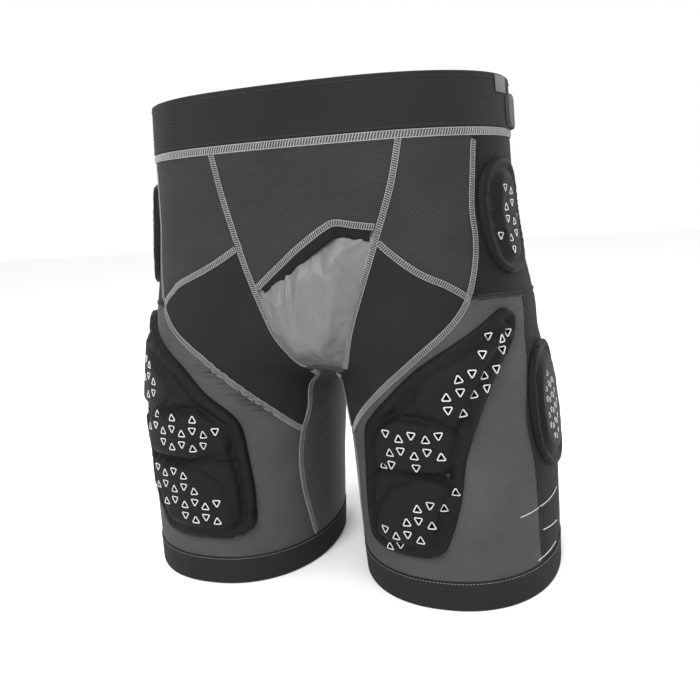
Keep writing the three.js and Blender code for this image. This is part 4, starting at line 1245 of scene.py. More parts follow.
class Dyer:
    """Makes each finish's material once."""

    def __init__(self) -> None:
        """Makes the groups that every cloth shares."""
        woven = (Weave.KNIT, Weave.MESH, Weave.SATIN, Weave.RIB, Weave.WOVEN)
        self.weaves = {weave: weave_group(weave) for weave in woven}
        self.tone = tone_group()
        self.made: dict[str, bpy.types.Material] = {}

    def material(self, finish: Finish) -> bpy.types.Material:
        """A finish's material.

        Args:
            finish: which finish.

        Returns:
            The material, made the first time it is asked for.
        """
        if finish.name in self.made:
            return self.made[finish.name]
        material = bpy.data.materials.new(finish.name)
        material.use_nodes = True
        tree = material.node_tree
        tree.nodes.clear()
        end = tree.nodes.new("ShaderNodeOutputMaterial")
        face = tree.nodes.new("ShaderNodeBsdfPrincipled")
        place = tree.nodes.new("ShaderNodeTexCoord")
        tone = tree.nodes.new("ShaderNodeGroup")
        tone.node_tree = self.tone
        bump = tree.nodes.new("ShaderNodeBump")
        tree.links.new(place.outputs["Object"], tone.inputs["Place"])
        tone.inputs["Colour"].default_value = (*finish.colour, 1.0)
        # The strength of the painted shade in the weave's gaps.
        tone.inputs["Gap Strength"].default_value = finish.gaps
        tone.inputs["Lint"].default_value = finish.lint
        tone.inputs["Base Roughness"].default_value = finish.roughness
        grain = noise(tree, place.outputs["Object"], 1600.0)
        if finish.weave in self.weaves:
            cloth = tree.nodes.new("ShaderNodeUVMap")
            cloth.uv_map = "cloth"
            weave = tree.nodes.new("ShaderNodeGroup")
            weave.node_tree = self.weaves[finish.weave]
            weave.inputs["Pitch"].default_value = finish.pitch
            tree.links.new(cloth.outputs[0], weave.inputs["Cloth Place"])
            tree.links.new(weave.outputs["Gap"], tone.inputs["Gap"])
            height = Wire(tree, weave.outputs["Height"]) + grain * 0.3
        else:
            height = grain
        tree.links.new(height.socket, bump.inputs["Height"])
        bump.inputs["Distance"].default_value = finish.relief
        bump.inputs["Strength"].default_value = 0.9
        tree.links.new(tone.outputs["Colour"], face.inputs["Base Color"])
        tree.links.new(tone.outputs["Roughness"], face.inputs["Roughness"])
        tree.links.new(bump.outputs[0], face.inputs["Normal"])
        face.inputs["Sheen Weight"].default_value = finish.sheen
        face.inputs["Sheen Roughness"].default_value = 0.45
        face.inputs["Specular IOR Level"].default_value = finish.shine
        tree.links.new(face.outputs[0], end.inputs[0])
        self.made[finish.name] = material
        return material


# ---- Cloth simulation -----------------------------------------------------------------------------


def settle_cloth(
    obj: Piece, held: Array, cap: float, pressure: float = 4.0, shrink: float = 0.0, frames: int = 20,
) -> None:
    """Lets a piece of cloth settle, and keeps what it did as the piece's own shape.

    Args:
        obj: the piece.
        held: whether each point stays where it is.
        cap: the furthest that a point may move, in metres.
        pressure: how hard the piece is blown up.
        shrink: how much the cloth draws in, or below nought how slack it is.
        frames: how many steps it has.
    """
    group = obj.vertex_groups.new(name="held")
    group.add(np.flatnonzero(held).tolist(), 1.0, "REPLACE")
    modifier = obj.modifiers.new("Settle", "CLOTH")
    cloth = modifier.settings
    cloth.vertex_group_mass = "held"
    cloth.use_pressure = True
    cloth.uniform_pressure_force = pressure
    cloth.effector_weights.gravity = 0.0
    cloth.quality = 5
    cloth.mass = 0.2
    cloth.shrink_min = shrink
    modifier.collision_settings.use_collision = False
    modifier.collision_settings.use_self_collision = False
    modifier.point_cache.frame_start = 1
    modifier.point_cache.frame_end = frames
    scene = bpy.context.scene
    for number in range(1, frames + 1):
        scene.frame_set(number)
    graph = bpy.context.evaluated_depsgraph_get()
    settled = obj.evaluated_get(graph).to_mesh()
    count = len(obj.data.vertices)
    after, before = np.zeros(count * 3, np.float32), np.zeros(count * 3, np.float32)
    settled.vertices.foreach_get("co", after)
    obj.data.vertices.foreach_get("co", before)
    move = (after - before).reshape(-1, 3)
    length = np.linalg.norm(move, axis=1, keepdims=True)
    move *= np.minimum(1.0, cap / np.maximum(length, 1e-9))
    obj.modifiers.clear()
    obj.vertex_groups.clear()
    obj.data.vertices.foreach_set("co", (before + move.ravel()).astype(np.float32))
    obj.data.update()
    scene.frame_set(1)
    LOG.info("%s settled, most moved %.2f mm", obj.name, float(length.max()) / MM)


# ---- The pattern ----------------------------------------------------------------------------------


@dataclass(frozen=True)
class Side:
    """One half of the shorts."""

    tag: str
    chart: Chart

    @property
    def sign(self) -> float:
        """Minus one on the wearer's right."""
        return self.chart.sign


LEFT, RIGHT = Side("left", Chart.LEFT), Side("right", Chart.RIGHT)
SIDES = (LEFT, RIGHT)
BAND = 388.0
CUFF = 26.0


def mirrored(line: Array) -> Array:
    """A line on the other half of the middle chart."""
    return line * np.array([-1.0, 1.0])


def shifted(line: Array, by: float) -> Array:
    """A line moved along the cloth."""
    return line + np.array([by, 0.0])


@dataclass(frozen=True)
class Pattern:
    """Where every seam of the shorts runs, as pattern places of each half."""

    fly_half: tuple = ((388, 0.262), (349, 0.239), (308, 0.203), (273, 0.165), (242, 0.123), (201, 0.066))
    side_foot: Place = (0.332, 257.0)
    outer_top: Place = (0.437, 252.0)
    rear_foot: Place = (0.53, 250.0)
    seat_foot: Place = (0.905, 184.0)
    back_tip: Place = (1.0, 222.0)
    inner_join: Place = (0.105, 135.0)
    thigh_top: float = 307.0
    arch_start: float = 271.0
    arch_end: float = 316.5

    def front_seam(self, side: Side, low: float = 201.0, high: float = BAND) -> Array:
        """The long seam from the band to the foot of the pouch, or part of it."""
        halves = smooth_table(sorted(self.fly_half))
        levels = np.linspace(high, low, 26)
        shift = 0.04 - 0.014 * (levels - 201) / 187
        return np.stack([halves(levels)[:, 0] + side.sign * shift, levels], 1)

    def thigh_seam(self, side: Side) -> Array:
        """The seam from the front seam to the foot of the side seam."""
        start = tuple(self.front_seam(side, self.thigh_top)[-1])
        return spline([start, (0.282, 280), (0.31, 268.5), self.side_foot])

    @property
    def side_seam(self) -> Array:
        """The seam in front of the hip pad."""
        return spline([(0.378, BAND), (0.369, 355), (0.36, 325), (0.358, 303), (0.349, 280), self.side_foot])

    @property
    def leg_seam(self) -> Array:
        """The slanting seam across the front of the leg."""
        inner = [(0.305, 239), (0.246, 208), (0.17, 167), (0.128, 145)]
        return spline([self.side_foot, *inner, self.inner_join])

    def upper_inner(self, side: Side) -> Array:
        """The seam from the pouch's foot down to the leg seam."""
        start = tuple(self.front_seam(side)[-1])
        return spline([start, (0.09, 180), (0.096, 155), self.inner_join])

    @property
    def lower_inner(self) -> Array:
        """The seam from there to the hem."""
        return spline([self.inner_join, (0.109, 108), (0.101, 74), (0.078, CUFF)])

    @property
    def side_hem(self) -> Array:
        """The seam under the front part of the side panel."""
        return spline([self.side_foot, (0.38, 255.5), self.outer_top])

    @property
    def rear_hem(self) -> Array:
        """The seam under the rear part of the side panel."""
        return np.array([self.outer_top, self.rear_foot])

    @property
    def outer_seam(self) -> Array:
        """The seam down the outside of the leg."""
        return spline([self.outer_top, (0.415, 204), (0.388, 155), (0.395, 110), (0.4, CUFF)])

    @property
    def rear_seam(self) -> Array:
        """The seam behind the hip pad."""
        return spline([(0.535, BAND), (0.532, 320), self.rear_foot])

    @property
    def seat_seam(self) -> Array:
        """The seam under the seat."""
        return spline([self.rear_foot, (0.62, 224), (0.72, 203), (0.82, 190), self.seat_foot])

    @property
    def seat_to_tip(self) -> Array:
        """The seam from there up to the middle of the back."""
        return spline([self.seat_foot, (0.94, 206), self.back_tip])

    @property
    def back_inner(self) -> Array:
        """The seam down the back of the gusset."""
        return spline([self.seat_foot, (0.9, 158), (0.895, 125), (0.9, 74), (0.93, CUFF)])

    @property
    def arch(self) -> Array:
        """The loose edge over the pouch, from the wearer's right to the left, in the middle chart."""
        start = mirrored(self.front_seam(RIGHT, self.arch_start))[-1]
        end = self.front_seam(LEFT, self.arch_end)[-1]
        inner = [(-0.069, 284.5), (0.001, 296.5), (0.079, 309), (0.133, 318.5), (0.162, 322), (0.2, 319.5)]
        return spline([tuple(start), *inner, tuple(end)])

    def centre_front(self) -> Array:
        """The outline of the fly panel above the arch."""
        right = mirrored(self.front_seam(RIGHT, self.arch_start))
        left = self.front_seam(LEFT, self.arch_end)[::-1]
        return join_lines(right, self.arch, left)

    def pouch(self) -> Array:
        """The outline of the pouch."""
        right = mirrored(self.front_seam(RIGHT, 201, self.arch_start))
        left = self.front_seam(LEFT, 201, self.arch_end)[::-1]
        return join_lines(self.arch[::-1], right, left)

    def hip_front(self, side: Side) -> Array:
        """The outline of the hip panel in front."""
        return join_lines(self.front_seam(side, self.thigh_top), self.thigh_seam(side), self.side_seam[::-1])

    def thigh_front(self, side: Side) -> Array:
        """The outline of the thigh panel in front."""
        middle = self.front_seam(side, 201, self.thigh_top)
        return join_lines(middle, self.upper_inner(side), self.leg_seam[::-1], self.thigh_seam(side)[::-1])

    def side_panel(self) -> Array:
        """The outline of the panel round the hip pad."""
        return join_lines(self.side_seam, self.side_hem, self.rear_hem, self.rear_seam[::-1])

    def seat_panel(self) -> Array:
        """The outline of half of the seat."""
        return join_lines(self.rear_seam, self.seat_seam, self.seat_to_tip, np.array([(1.0, BAND)]))

    def leg_mesh(self) -> Array:
        """The outline of the open-knit panel in front of the leg."""
        return join_lines(self.leg_seam, self.lower_inner, self.outer_seam[::-1], self.side_hem[::-1])

    def leg_back(self) -> Array:
        """The outline of the back of the leg."""
        return join_lines(self.outer_seam, self.back_inner[::-1], self.seat_seam[::-1], self.rear_hem[::-1])

    def gusset(self, side: Side) -> Array:
        """The outline of the gusset, across the inseam."""
        notch = np.array([(1 / 480, 201), (0.0, 184.3), (-1 / 480, 221)])
        return join_lines(
            shifted(self.back_inner, -1), self.lower_inner[::-1], self.upper_inner(side)[::-1], notch,
            shifted(self.seat_to_tip, -1)[::-1][1:],
        )


# ---- The workshop ---------------------------------------------------------------------------------


@dataclass
class Workshop:
    """Everything that the sub-assemblies are made with."""

    tailor: Tailor
    dyer: Dyer
    pattern: Pattern
    flatlock: Recipe
    stitches: Recipe
    openings: Recipe
    rims: Recipe

    def dress(
        self, obj: Piece, finish: Finish | None, slot: str, nodes: Sequence[str] = (),
        body: str = "shorts",
    ) -> Piece:
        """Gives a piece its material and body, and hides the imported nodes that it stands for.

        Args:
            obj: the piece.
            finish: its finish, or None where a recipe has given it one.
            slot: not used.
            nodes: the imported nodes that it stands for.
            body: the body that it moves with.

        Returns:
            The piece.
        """
        if finish is not None:
            obj.data.materials.clear()
            obj.data.materials.append(self.dyer.material(finish))
        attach(obj, body)
        if nodes:
            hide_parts(*nodes)
        LOG.info("%s: %d faces, moves with %s", obj.name, len(obj.data.polygons), body)
        return obj

    def declare(self, obj: Piece, held: str = "stretched") -> Piece:
        """Works out a piece's area and flat size, and keeps nothing of them.

        Args:
            obj: the piece, with its flat places as UV.
            held: not used.

        Returns:
            The piece.
        """
        mesh = obj.data
        area = sum(face.area for face in mesh.polygons) / 2
        flat = np.zeros(len(mesh.loops) * 2, np.float32)
        mesh.uv_layers["cloth"].data.foreach_get("uv", flat)
        flat = flat.reshape(-1, 2)
        width, length = (float(v) for v in flat.max(0) - flat.min(0))
        grow = math.sqrt(max(1.0, area / (width * length) * 1.02))
        return obj

    def panel(
        self, name: str, side: Side | None, outline: Array, finish: Finish, slot: str, node: str, **shape,
    ) -> None:
        chart = Chart.MIDDLE if side is None else side.chart
        made = self.tailor.slab(name, chart, outline, 0.0, 1.2, edge_drop=0.5, **shape)
        self.declare(self.dress(made, finish, slot, [node]))

    def sew(
        self, name: str, chart: Chart, line: Array, finish: Finish, pitch: float, width: float,
        depth: float, radius: float = 0.4, fly: bool = False, closed: bool = False, lean: float = 0.4,
    ) -> None:
        """Sews flatlock threads along a line on the cloth, sizes in millimetres."""
        steps = self.tailor.run(chart, line, 2.0, depth, fly)
        if closed:
            steps = {key: value[:-1] for key, value in steps.items()}
        made = self.tailor.guide(name, steps, closed)
        self.flatlock.run_on(
            made, Pitch=pitch * MM, Stitch_Width=width * MM, Thread_Radius=radius * MM, Lean=lean * MM,
            Thread=self.dyer.material(finish),
        )
        self.dress(made, None, "tape_cloth")

    def stitch(
        self, name: str, chart: Chart, line: Array, slot: str, finish: Finish, depth: float,
        pitch: float = 3.0, length: float = 2.2, radius: float = 0.28,
    ) -> None:
        """Sews a line of running stitches on a piece, sizes in millimetres."""
        steps = self.tailor.run(chart, line, 2.0, depth)
        made = self.tailor.guide(name, steps)
        self.stitches.run_on(
            made, Pitch=pitch * MM, Stitch_Length=length * MM, Thread_Radius=radius * MM,
            Thread=self.dyer.material(finish),
        )
        self.dress(made, None, slot)

    def tape(
        self, name: str, chart: Chart, line: Array, node: str, fly: bool = False, width: float = 5.0,
    ) -> None:
        """Lays a seam tape and the flatlock threads on it."""
        half = width / 2
        profile = np.array([
            (half, 0.8), (half * 0.8, 1.35), (half * 0.3, 1.6), (-half * 0.3, 1.6),
            (-half * 0.8, 1.35), (-half, 0.8), (0.0, 0.5),
        ])
        steps = self.tailor.run(chart, line, 2.0, 0.0, fly)
        band = self.tailor.strip(f"{name}_tape", steps, profile)
        self.dress(band, Finishes.TAPE, "tape_cloth", [node])
        self.sew(f"{name}_threads", chart, line, Finishes.THREAD, 1.8, width * 0.9, 1.85, fly=fly)


# ---- Sub-assemblies -------------------------------------------------------------------------------


@dataclass
class WaistBand:
    """The wide elastic and the ladder of threads under it."""

    shop: Workshop

    def build(self) -> None:
        """Makes the band, its ribs and its seam."""
        face = [(388.35, 1.2), (388.7, 2.2), (389.6, 2.6)]
        for level in np.arange(391.0, 427.6, 0.75):
            face.append((level, 2.55 + 0.16 * math.cos((level - 391.0) / 2.9 * 2 * math.pi)))
        face += [(428.6, 2.75), (429.6, 2.5), (430.1, 1.7), (429.8, 0.6), (428.8, 0.05)]
        face += [(409.0, 0.0), (388.9, 0.0), (388.4, 0.3)]
        shop = self.shop
        band = shop.tailor.ring("waistband_elastic", Chart.MIDDLE, np.array(face), 420, 449.0)
        shop.dress(band, Finishes.BAND, "band_cloth", ["waistband"])
        line = np.stack([np.linspace(0, 2, 500), np.full(500, 384.8)], 1)
        steps = shop.tailor.run(Chart.MIDDLE, line, 2.0, 0.0)
        steps = {key: value[:-1] for key, value in steps.items()}
        profile = np.array([(2.7, 0.9), (2.0, 1.5), (0.0, 1.7), (-2.0, 1.5), (-2.7, 0.9), (0.0, 0.5)])
        tape = shop.tailor.strip("waist_seam_tape", steps, profile, closed=True)
        shop.dress(tape, Finishes.TAPE, "tape_cloth", ["waist_seam"])
        shop.sew("waist_flatlock", Chart.MIDDLE, line, Finishes.WAIST_THREAD, 2.3, 5.6, 1.65, 0.5,
                 closed=True, lean=0.9)
        for name, level, depth in (("band_top_stitches", 426.2, 2.75), ("band_foot_stitches", 390.2, 2.65)):
            run = np.stack([np.linspace(0, 1.995, 400), np.full(400, level)], 1)
            shop.stitch(name, Chart.MIDDLE, run, "band_cloth", Finishes.DARK_THREAD, depth, 3.2, 2.4, 0.26)


@dataclass
class FlyFront:
    """The fly panel, its loose bound edge and the pouch behind it."""

    shop: Workshop

    def build(self) -> None:
        """Makes the panel, the pouch, the arch's tape and its binding."""
        shop, pattern = self.shop, self.shop.pattern
        shop.panel("centre_front_cloth", None, pattern.centre_front(), Finishes.MESH, "mesh_cloth",
                   "centre_front_panel", fly=True)
        self._pouch()
        arch = pattern.arch
        shop.tape("fly_arch", Chart.MIDDLE, arch[2:-2], "fly_seam", fly=True)
        steps = shop.tailor.run(Chart.MIDDLE, arch[3:-3], 2.0, 0.0, True)
        steps["centre"] = steps["centre"] - steps["across"] * 6.8
        fold = np.array([
            (4.3, 0.6), (4.0, 1.6), (3.2, 2.1), (0.0, 2.25), (-3.2, 2.2), (-4.3, 1.6), (-4.6, 0.8),
            (-4.2, 0.0), (-3.0, -0.4), (0.0, -0.4), (3.6, -0.1),
        ])
        binding = shop.tailor.strip("fly_binding_edge", steps, fold)
        shop.dress(binding, Finishes.SIDE, "pad_cloth", ["fly_binding"])

    def _pouch(self) -> None:
        """The satin pouch, which bulges out under the arch and folds down to its foot."""
        shop = self.shop
        tailor = shop.tailor
        girth = TORSO_GIRTH
        cut = cut_flat(shop.pattern.pouch() * np.array([girth, 1.0]), 2.4)
        t, z = cut.points[:, 0] / girth, cut.points[:, 1]
        body = 10.0 * soft_step(cut.edge, 0, 30.0)
        for (x0, z0), (x1, z1), size, width in (
            ((30, 300), (6, 232), 2.6, 7.0), ((62, 300), (30, 225), -2.2, 6.0),
            ((-4, 286), (4, 240), 1.6, 5.0), ((80, 290), (44, 222), 2.4, 6.0),
            ((20, 262), (24, 206), -1.6, 4.0), ((44, 250), (30, 208), 1.5, 4.0),
        ):
            a, b = np.array([x0, z0], float), np.array([x1, z1], float)
            along = b - a
            length = float(np.hypot(*along))
            u = ((cut.points - a) @ along) / length**2
            r = ((cut.points[:, 0] - a[0]) * along[1] - (cut.points[:, 1] - a[1]) * along[0]) / length / width
            fade = np.sin(np.pi * np.clip(u, 0, 1)) ** 0.7
            body += size * fade * np.exp(-r * r) * soft_step(cut.edge, 0, 10.0)
        from_arch = distance_to(cut.points, shop.pattern.arch * np.array([girth, 1.0]))
        low = body - 2.2 * np.exp(-(from_arch / 9.0) ** 2)
        sides = [tailor.form.place(Chart.MIDDLE, t, z, depth) for depth in (low + 0.9, low)]
        points = np.vstack(sides)
        made = new_object("pouch_satin", points, closed_faces(cut.triangles, len(t), False),
                          np.vstack([cut.points, cut.points]))
        settle_cloth(made, np.tile(cut.edge < 0.5, 2), 0.003, 0.5, -0.03)
        shop.dress(made, Finishes.SATIN, "satin_cloth", ["pouch"])
        shop.declare(made, "gathered")


@dataclass
class PanelSet:
    """The cloth panels of one half and the seams between them."""

    shop: Workshop
    side: Side

    def build(self) -> None:
        """Makes the panels, then the light tapes in front, then the dark seams behind."""
        shop, side, p, tag = self.shop, self.side, self.shop.pattern, self.side.tag
        leg = {"girth": LEG_GIRTH}
        for name, outline, finish, slot, node, shape in (
            ("hip_front", p.hip_front(side), Finishes.MESH, "mesh_cloth", "hip_panel_front", {}),
            ("thigh_front", p.thigh_front(side), Finishes.THIGH, "plain_cloth", "thigh_panel_front", {}),
            ("side", p.side_panel(), Finishes.SIDE, "pad_cloth", "side_panel", {}),
            ("seat", p.seat_panel(), Finishes.THIGH, "plain_cloth", "seat_panel", {}),
            ("leg_front", p.leg_mesh(), Finishes.LEG_MESH, "mesh_cloth", "leg_mesh", leg | {"spacing": 1.7}),
            ("leg_back", p.leg_back(), Finishes.THIGH, "plain_cloth", "leg_back", leg),
            ("gusset", p.gusset(side), Finishes.GUSSET, "satin_cloth", "inner_thigh_gusset",
             {"girth": GUSSET_GIRTH}),
        ):
            shop.panel(f"{name}_cloth_{tag}", side, outline, finish, slot, f"{node}_{tag}", **shape)
        for name, line in (
            ("front_seam", p.front_seam(side, 201, 382.0)), ("thigh_seam", p.thigh_seam(side)[1:]),
            ("side_seam", p.side_seam[p.side_seam[:, 1] < 382]), ("leg_seam", p.leg_seam),
            ("inner_thigh_seam", join_lines(p.upper_inner(side)[4:], p.lower_inner)[:-1]),
        ):
            shop.tape(f"{name}_{tag}_flatlock", side.chart, line, f"{name}_{tag}")
        for name, line in (
            ("side_hem", join_lines(p.side_hem, p.rear_hem)), ("outer_seam", p.outer_seam),
            ("rear_seam", p.rear_seam[p.rear_seam[:, 1] < 382]),
            ("seat_seam", join_lines(p.seat_seam, p.seat_to_tip)),
            ("back_inner_seam", p.back_inner),
        ):
            shop.sew(f"{name}_{tag}_threads", side.chart, line, Finishes.DARK_THREAD, 2.0, 3.6, 1.25, 0.34)
        self._cuff()

    def _cuff(self) -> None:
        """The hem's elastic and the light stitches on the back of the leg."""
        shop, side, tag = self.shop, self.side, self.side.tag
        face = [(0.4, 0.8), (0.7, 1.7), (1.6, 2.1)]
        for level in np.arange(3, 23.5, 0.6):
            face.append((level, 2.0 + 0.14 * math.cos((level - 3.0) / 2.4 * 2 * math.pi)))
        face += [(24.6, 2.1), (25.5, 1.7), (25.9, 1.0), (25.7, 0.2), (13.0, 0.0), (0.6, 0.1)]
        cuff = shop.tailor.ring(f"hem_cuff_elastic_{tag}", side.chart, np.array(face), 300, 620.0, span=1.0)
        shop.dress(cuff, Finishes.BAND, "band_cloth", [f"hem_cuff_{tag}"])
        run = np.stack([np.linspace(0.0, 0.998, 300), np.full(300, 24.6)], 1)
        shop.stitch(f"cuff_stitches_{tag}", side.chart, run, "tape_cloth", Finishes.THREAD, 2.0, 3.0,
                    2.3, 0.22)
        for number, (a, b) in enumerate((
            ((0.36, 75), (0.468, 77.5)), ((0.406, 54), (0.457, 49.5)), ((0.39, 30), (0.448, 32)),
        )):
            line = np.linspace(np.array(a, float), np.array(b, float), 30)
            shop.stitch(f"leg_line_{number}_{tag}", side.chart, line, "tape_cloth", Finishes.LIGHT_THREAD,
                        1.4, 2.2, 2.0, 0.4)


THIGH_OUTLINE = (
    (0.168, 55), (0.205, 46), (0.265, 49), (0.284, 68), (0.298, 98), (0.308, 130), (0.33, 164),
    (0.358, 194), (0.39, 217), (0.404, 238), (0.386, 246), (0.335, 231), (0.27, 206), (0.226, 181),
    (0.186, 154), (0.17, 112), (0.164, 80),
)
THIGH_BLOCKS = {
    "upper": (
        (0.262, 182), (0.283, 200), (0.335, 222), (0.368, 234), (0.384, 228), (0.35, 198), (0.324, 172),
        (0.285, 168),
    ),
    "middle": (
        (0.198, 132), (0.205, 154), (0.25, 161), (0.295, 161), (0.308, 148), (0.292, 128), (0.24, 124),
    ),
    "lower": (
        (0.195, 60), (0.2, 86), (0.225, 106), (0.262, 112), (0.284, 106), (0.28, 80), (0.262, 60),
        (0.22, 55),
    ),
}
VENT_AREAS = {
    "left": {
        "upper": (
            (0.262, 181), (0.283, 203), (0.345, 231), (0.397, 236), (0.352, 190), (0.33, 172), (0.29, 168),
        ),
        "middle": ((0.190, 134), (0.208, 154), (0.288, 157), (0.298, 138), (0.246, 121), (0.192, 122)),
        "lower": ((0.186, 50), (0.19, 74), (0.236, 99), (0.282, 112), (0.268, 70), (0.247, 60)),
    },
    "right": {
        "upper": ((0.3, 180), (0.33, 218), (0.385, 230), (0.36, 184), (0.33, 172)),
        "middle": (
            (0.235, 138), (0.222, 154), (0.255, 166), (0.30, 166), (0.335, 158), (0.325, 138), (0.285, 130),
            (0.25, 130),
        ),
        "lower": ((0.33, 110), (0.29, 116), (0.222, 82), (0.222, 66), (0.265, 64), (0.30, 76)),
    },
}
GROOVES = (
    ((0.186, 165), (0.25, 166), (0.325, 152)),
    ((0.17, 118), (0.25, 118), (0.305, 118)),
)
PAD_TWIST = 0.014
RIGHT_REACH = 0.3


def leg_place(points: Sequence[Place], side: Side) -> list[Place]:
    """Turns a leg pad's places with the leg, and draws the lower right pad further round."""
    made = []
    for t, level in points:
        own = t - side.sign * PAD_TWIST
        if side is RIGHT:
            own += max(own - 0.2, 0) * RIGHT_REACH * (1 - float(soft_step(level, 150, 215)))
        made.append((own, level))
    return made


@dataclass
class PuffedPad:
    """A foam pad under cloth that is sewn flat round it."""

    shop: Workshop
    chart: Chart
    girth: float
    outline: Array
    blocks: dict[str, Array]
    roll_height: float
    roll_width: float
    field_height: float
    block_height: float
    grooves: Sequence[Array] = ()
    spacing: float = 2.5
    base: float = 1.35

    def height(self, cut: FlatCut, flat: Array) -> Array:
        """How high the cover stands at flat places, in millimetres."""
        e = cut.edge
        half = self.roll_width / 2
        roll = 0.5 + self.roll_height * np.sqrt(np.clip(1 - ((e - half) / half) ** 2, 0, 1))
        valley = self.roll_width + 1.0
        inner = 1.8 + (self.field_height - 1.8) * soft_step(e, valley, valley + 7.0)
        total = np.where(e < self.roll_width * 0.93, roll, np.maximum(inner, 1.8))
        for block in self.blocks.values():
            gap = distance_to(flat, block, closed=True)
            deep = np.where(inside(flat, block), gap, -gap)
            step = self.block_height - self.field_height
            total += step * soft_step(deep, -4.5, 1.5) * soft_step(e, 3.0, valley)
        for groove in self.grooves:
            gap = distance_to(flat, groove)
            fade = soft_step(e, self.roll_width * 0.8, valley + 3)
            total -= (self.field_height - 2.2) * np.exp(-((gap / 2.4) ** 2)) * fade
        return total

    def build(self, name: str, nodes: Sequence[str]) -> Piece:
        """Makes the cover, blown up and settled.

        Args:
            name: the piece's name.
            nodes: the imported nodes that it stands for.

        Returns:
            The cover.
        """
        form = self.shop.tailor.form
        cut = cut_flat(self.outline, self.spacing)
        t, z = cut.points[:, 0] / self.girth, cut.points[:, 1]
        height = self.height(cut, cut.points)
        top = form.place(self.chart, t, z, self.base + height)
        low = form.place(self.chart, t, z, np.full(len(t), self.base))
        faces = closed_faces(cut.triangles, len(t), self.chart is Chart.RIGHT)
        made = new_object(name, np.vstack([top, low]), faces, np.vstack([cut.points, cut.points]))
        set_attribute(made, "rim", np.tile(np.minimum(cut.edge, 12.0), 2))
        still = cut.edge < 1.2
        for groove in self.grooves:
            still |= distance_to(cut.points, groove) < 1.6
        settle_cloth(made, np.concatenate([still, np.full(len(t), True)]), 0.0014, 4.0, -0.05)
        self.shop.dress(made, Finishes.PAD, "pad_cloth", nodes)
        return made


@dataclass
class VentCluster:
    """The three-cornered vents over one block of foam."""

    shop: Workshop
    chart: Chart
    girth: float
    area: Array
    step: float = 9.3
    row: float = 13.3
    size: float = 1.0
    twist: float = 0.06

    def marks(self, name: str, cover: Piece) -> Piece:
        """The vents' places on a cover, each with its way out and the way that it points."""
        form = self.shop.tailor.form
        low, high = self.area.min(0), self.area.max(0)
        rng = np.random.default_rng(SEED)
        flat, points = [], []
        for r, y in enumerate(np.arange(low[1] + self.row * 0.3, high[1], self.row)):
            for c, x in enumerate(np.arange(low[0] + self.step * 0.3, high[0], self.step)):
                up = 1.0 if (r + c) % 2 == 0 else -1.0
                place = np.array([x, y - 2.1 * self.size * up])
                if inside(place[None, :], self.area)[0]:
                    flat.append(place)
                    points.append(up)
        flat = np.array(flat)
        t, z = flat[:, 0] / self.girth, flat[:, 1]
        out = form.outward(self.chart, t, z)
        far = form.place(self.chart, t, z, np.full(len(t), 30.0))
        where, outs, ways = [], [], []
        for i in range(len(flat)):
            hit, spot, normal, _ = cover.ray_cast(Vector(far[i] * MM), Vector(-out[i]))
            if not hit or normal.dot(Vector(out[i])) < 0.82:
                continue
            normal = (normal * 0.4 + Vector(out[i]) * 0.6).normalized()
            way = Vector((0.0, 0.0, points[i])) + Vector(rng.normal(0, self.twist, 3))
            way = (way - normal * way.dot(normal)).normalized()
            where.append(np.array(spot) / MM)
            outs.append(np.array(normal))
            ways.append(np.array(way))
        made = new_object(name, np.array(where), [])
        set_attribute(made, "out", np.array(outs))
        set_attribute(made, "point_way", np.array(ways))
        return made

    def open(self, name: str, cover: Piece, node: str) -> None:
        """Cuts the vents into a cover and sets a foam rim in each."""
        dyer, k = self.shop.dyer, self.size
        marks = self.marks(name, cover)
        before = len(cover.data.polygons)
        plain = cover.data.copy()
        self.shop.openings.run_on(
            cover, Marks=marks, Seat_Radius=0.0053 * k, Hole_Radius=0.0034 * k,
            Lining=dyer.material(Finishes.LINING),
        )
        if len(cover.data.polygons) < before * 0.8:
            LOG.warning("%s: the vents could not be cut", name)
            cover.data = plain
        count = len(marks.data.vertices)
        self.shop.rims.run_on(
            marks, Rim_Radius=0.0043 * k, Bead_Radius=0.00056 * k, Corner_Radius=0.0007 * k, Sink=0.0001,
            Foam=dyer.material(Finishes.FOAM),
        )
        self.shop.dress(marks, None, "foam", [node])
        LOG.info("%s has %d vents", name, count)


def rounded_oval(count: int) -> Array:
    """Points round an oval with full corners, of half width and half height 1."""
    turn = np.arange(count) * 2 * math.pi / count
    c, s = np.cos(turn), np.sin(turn)
    return np.stack([np.sign(c) * np.abs(c) ** 0.8, np.sign(s) * np.abs(s) ** 0.8], 1)


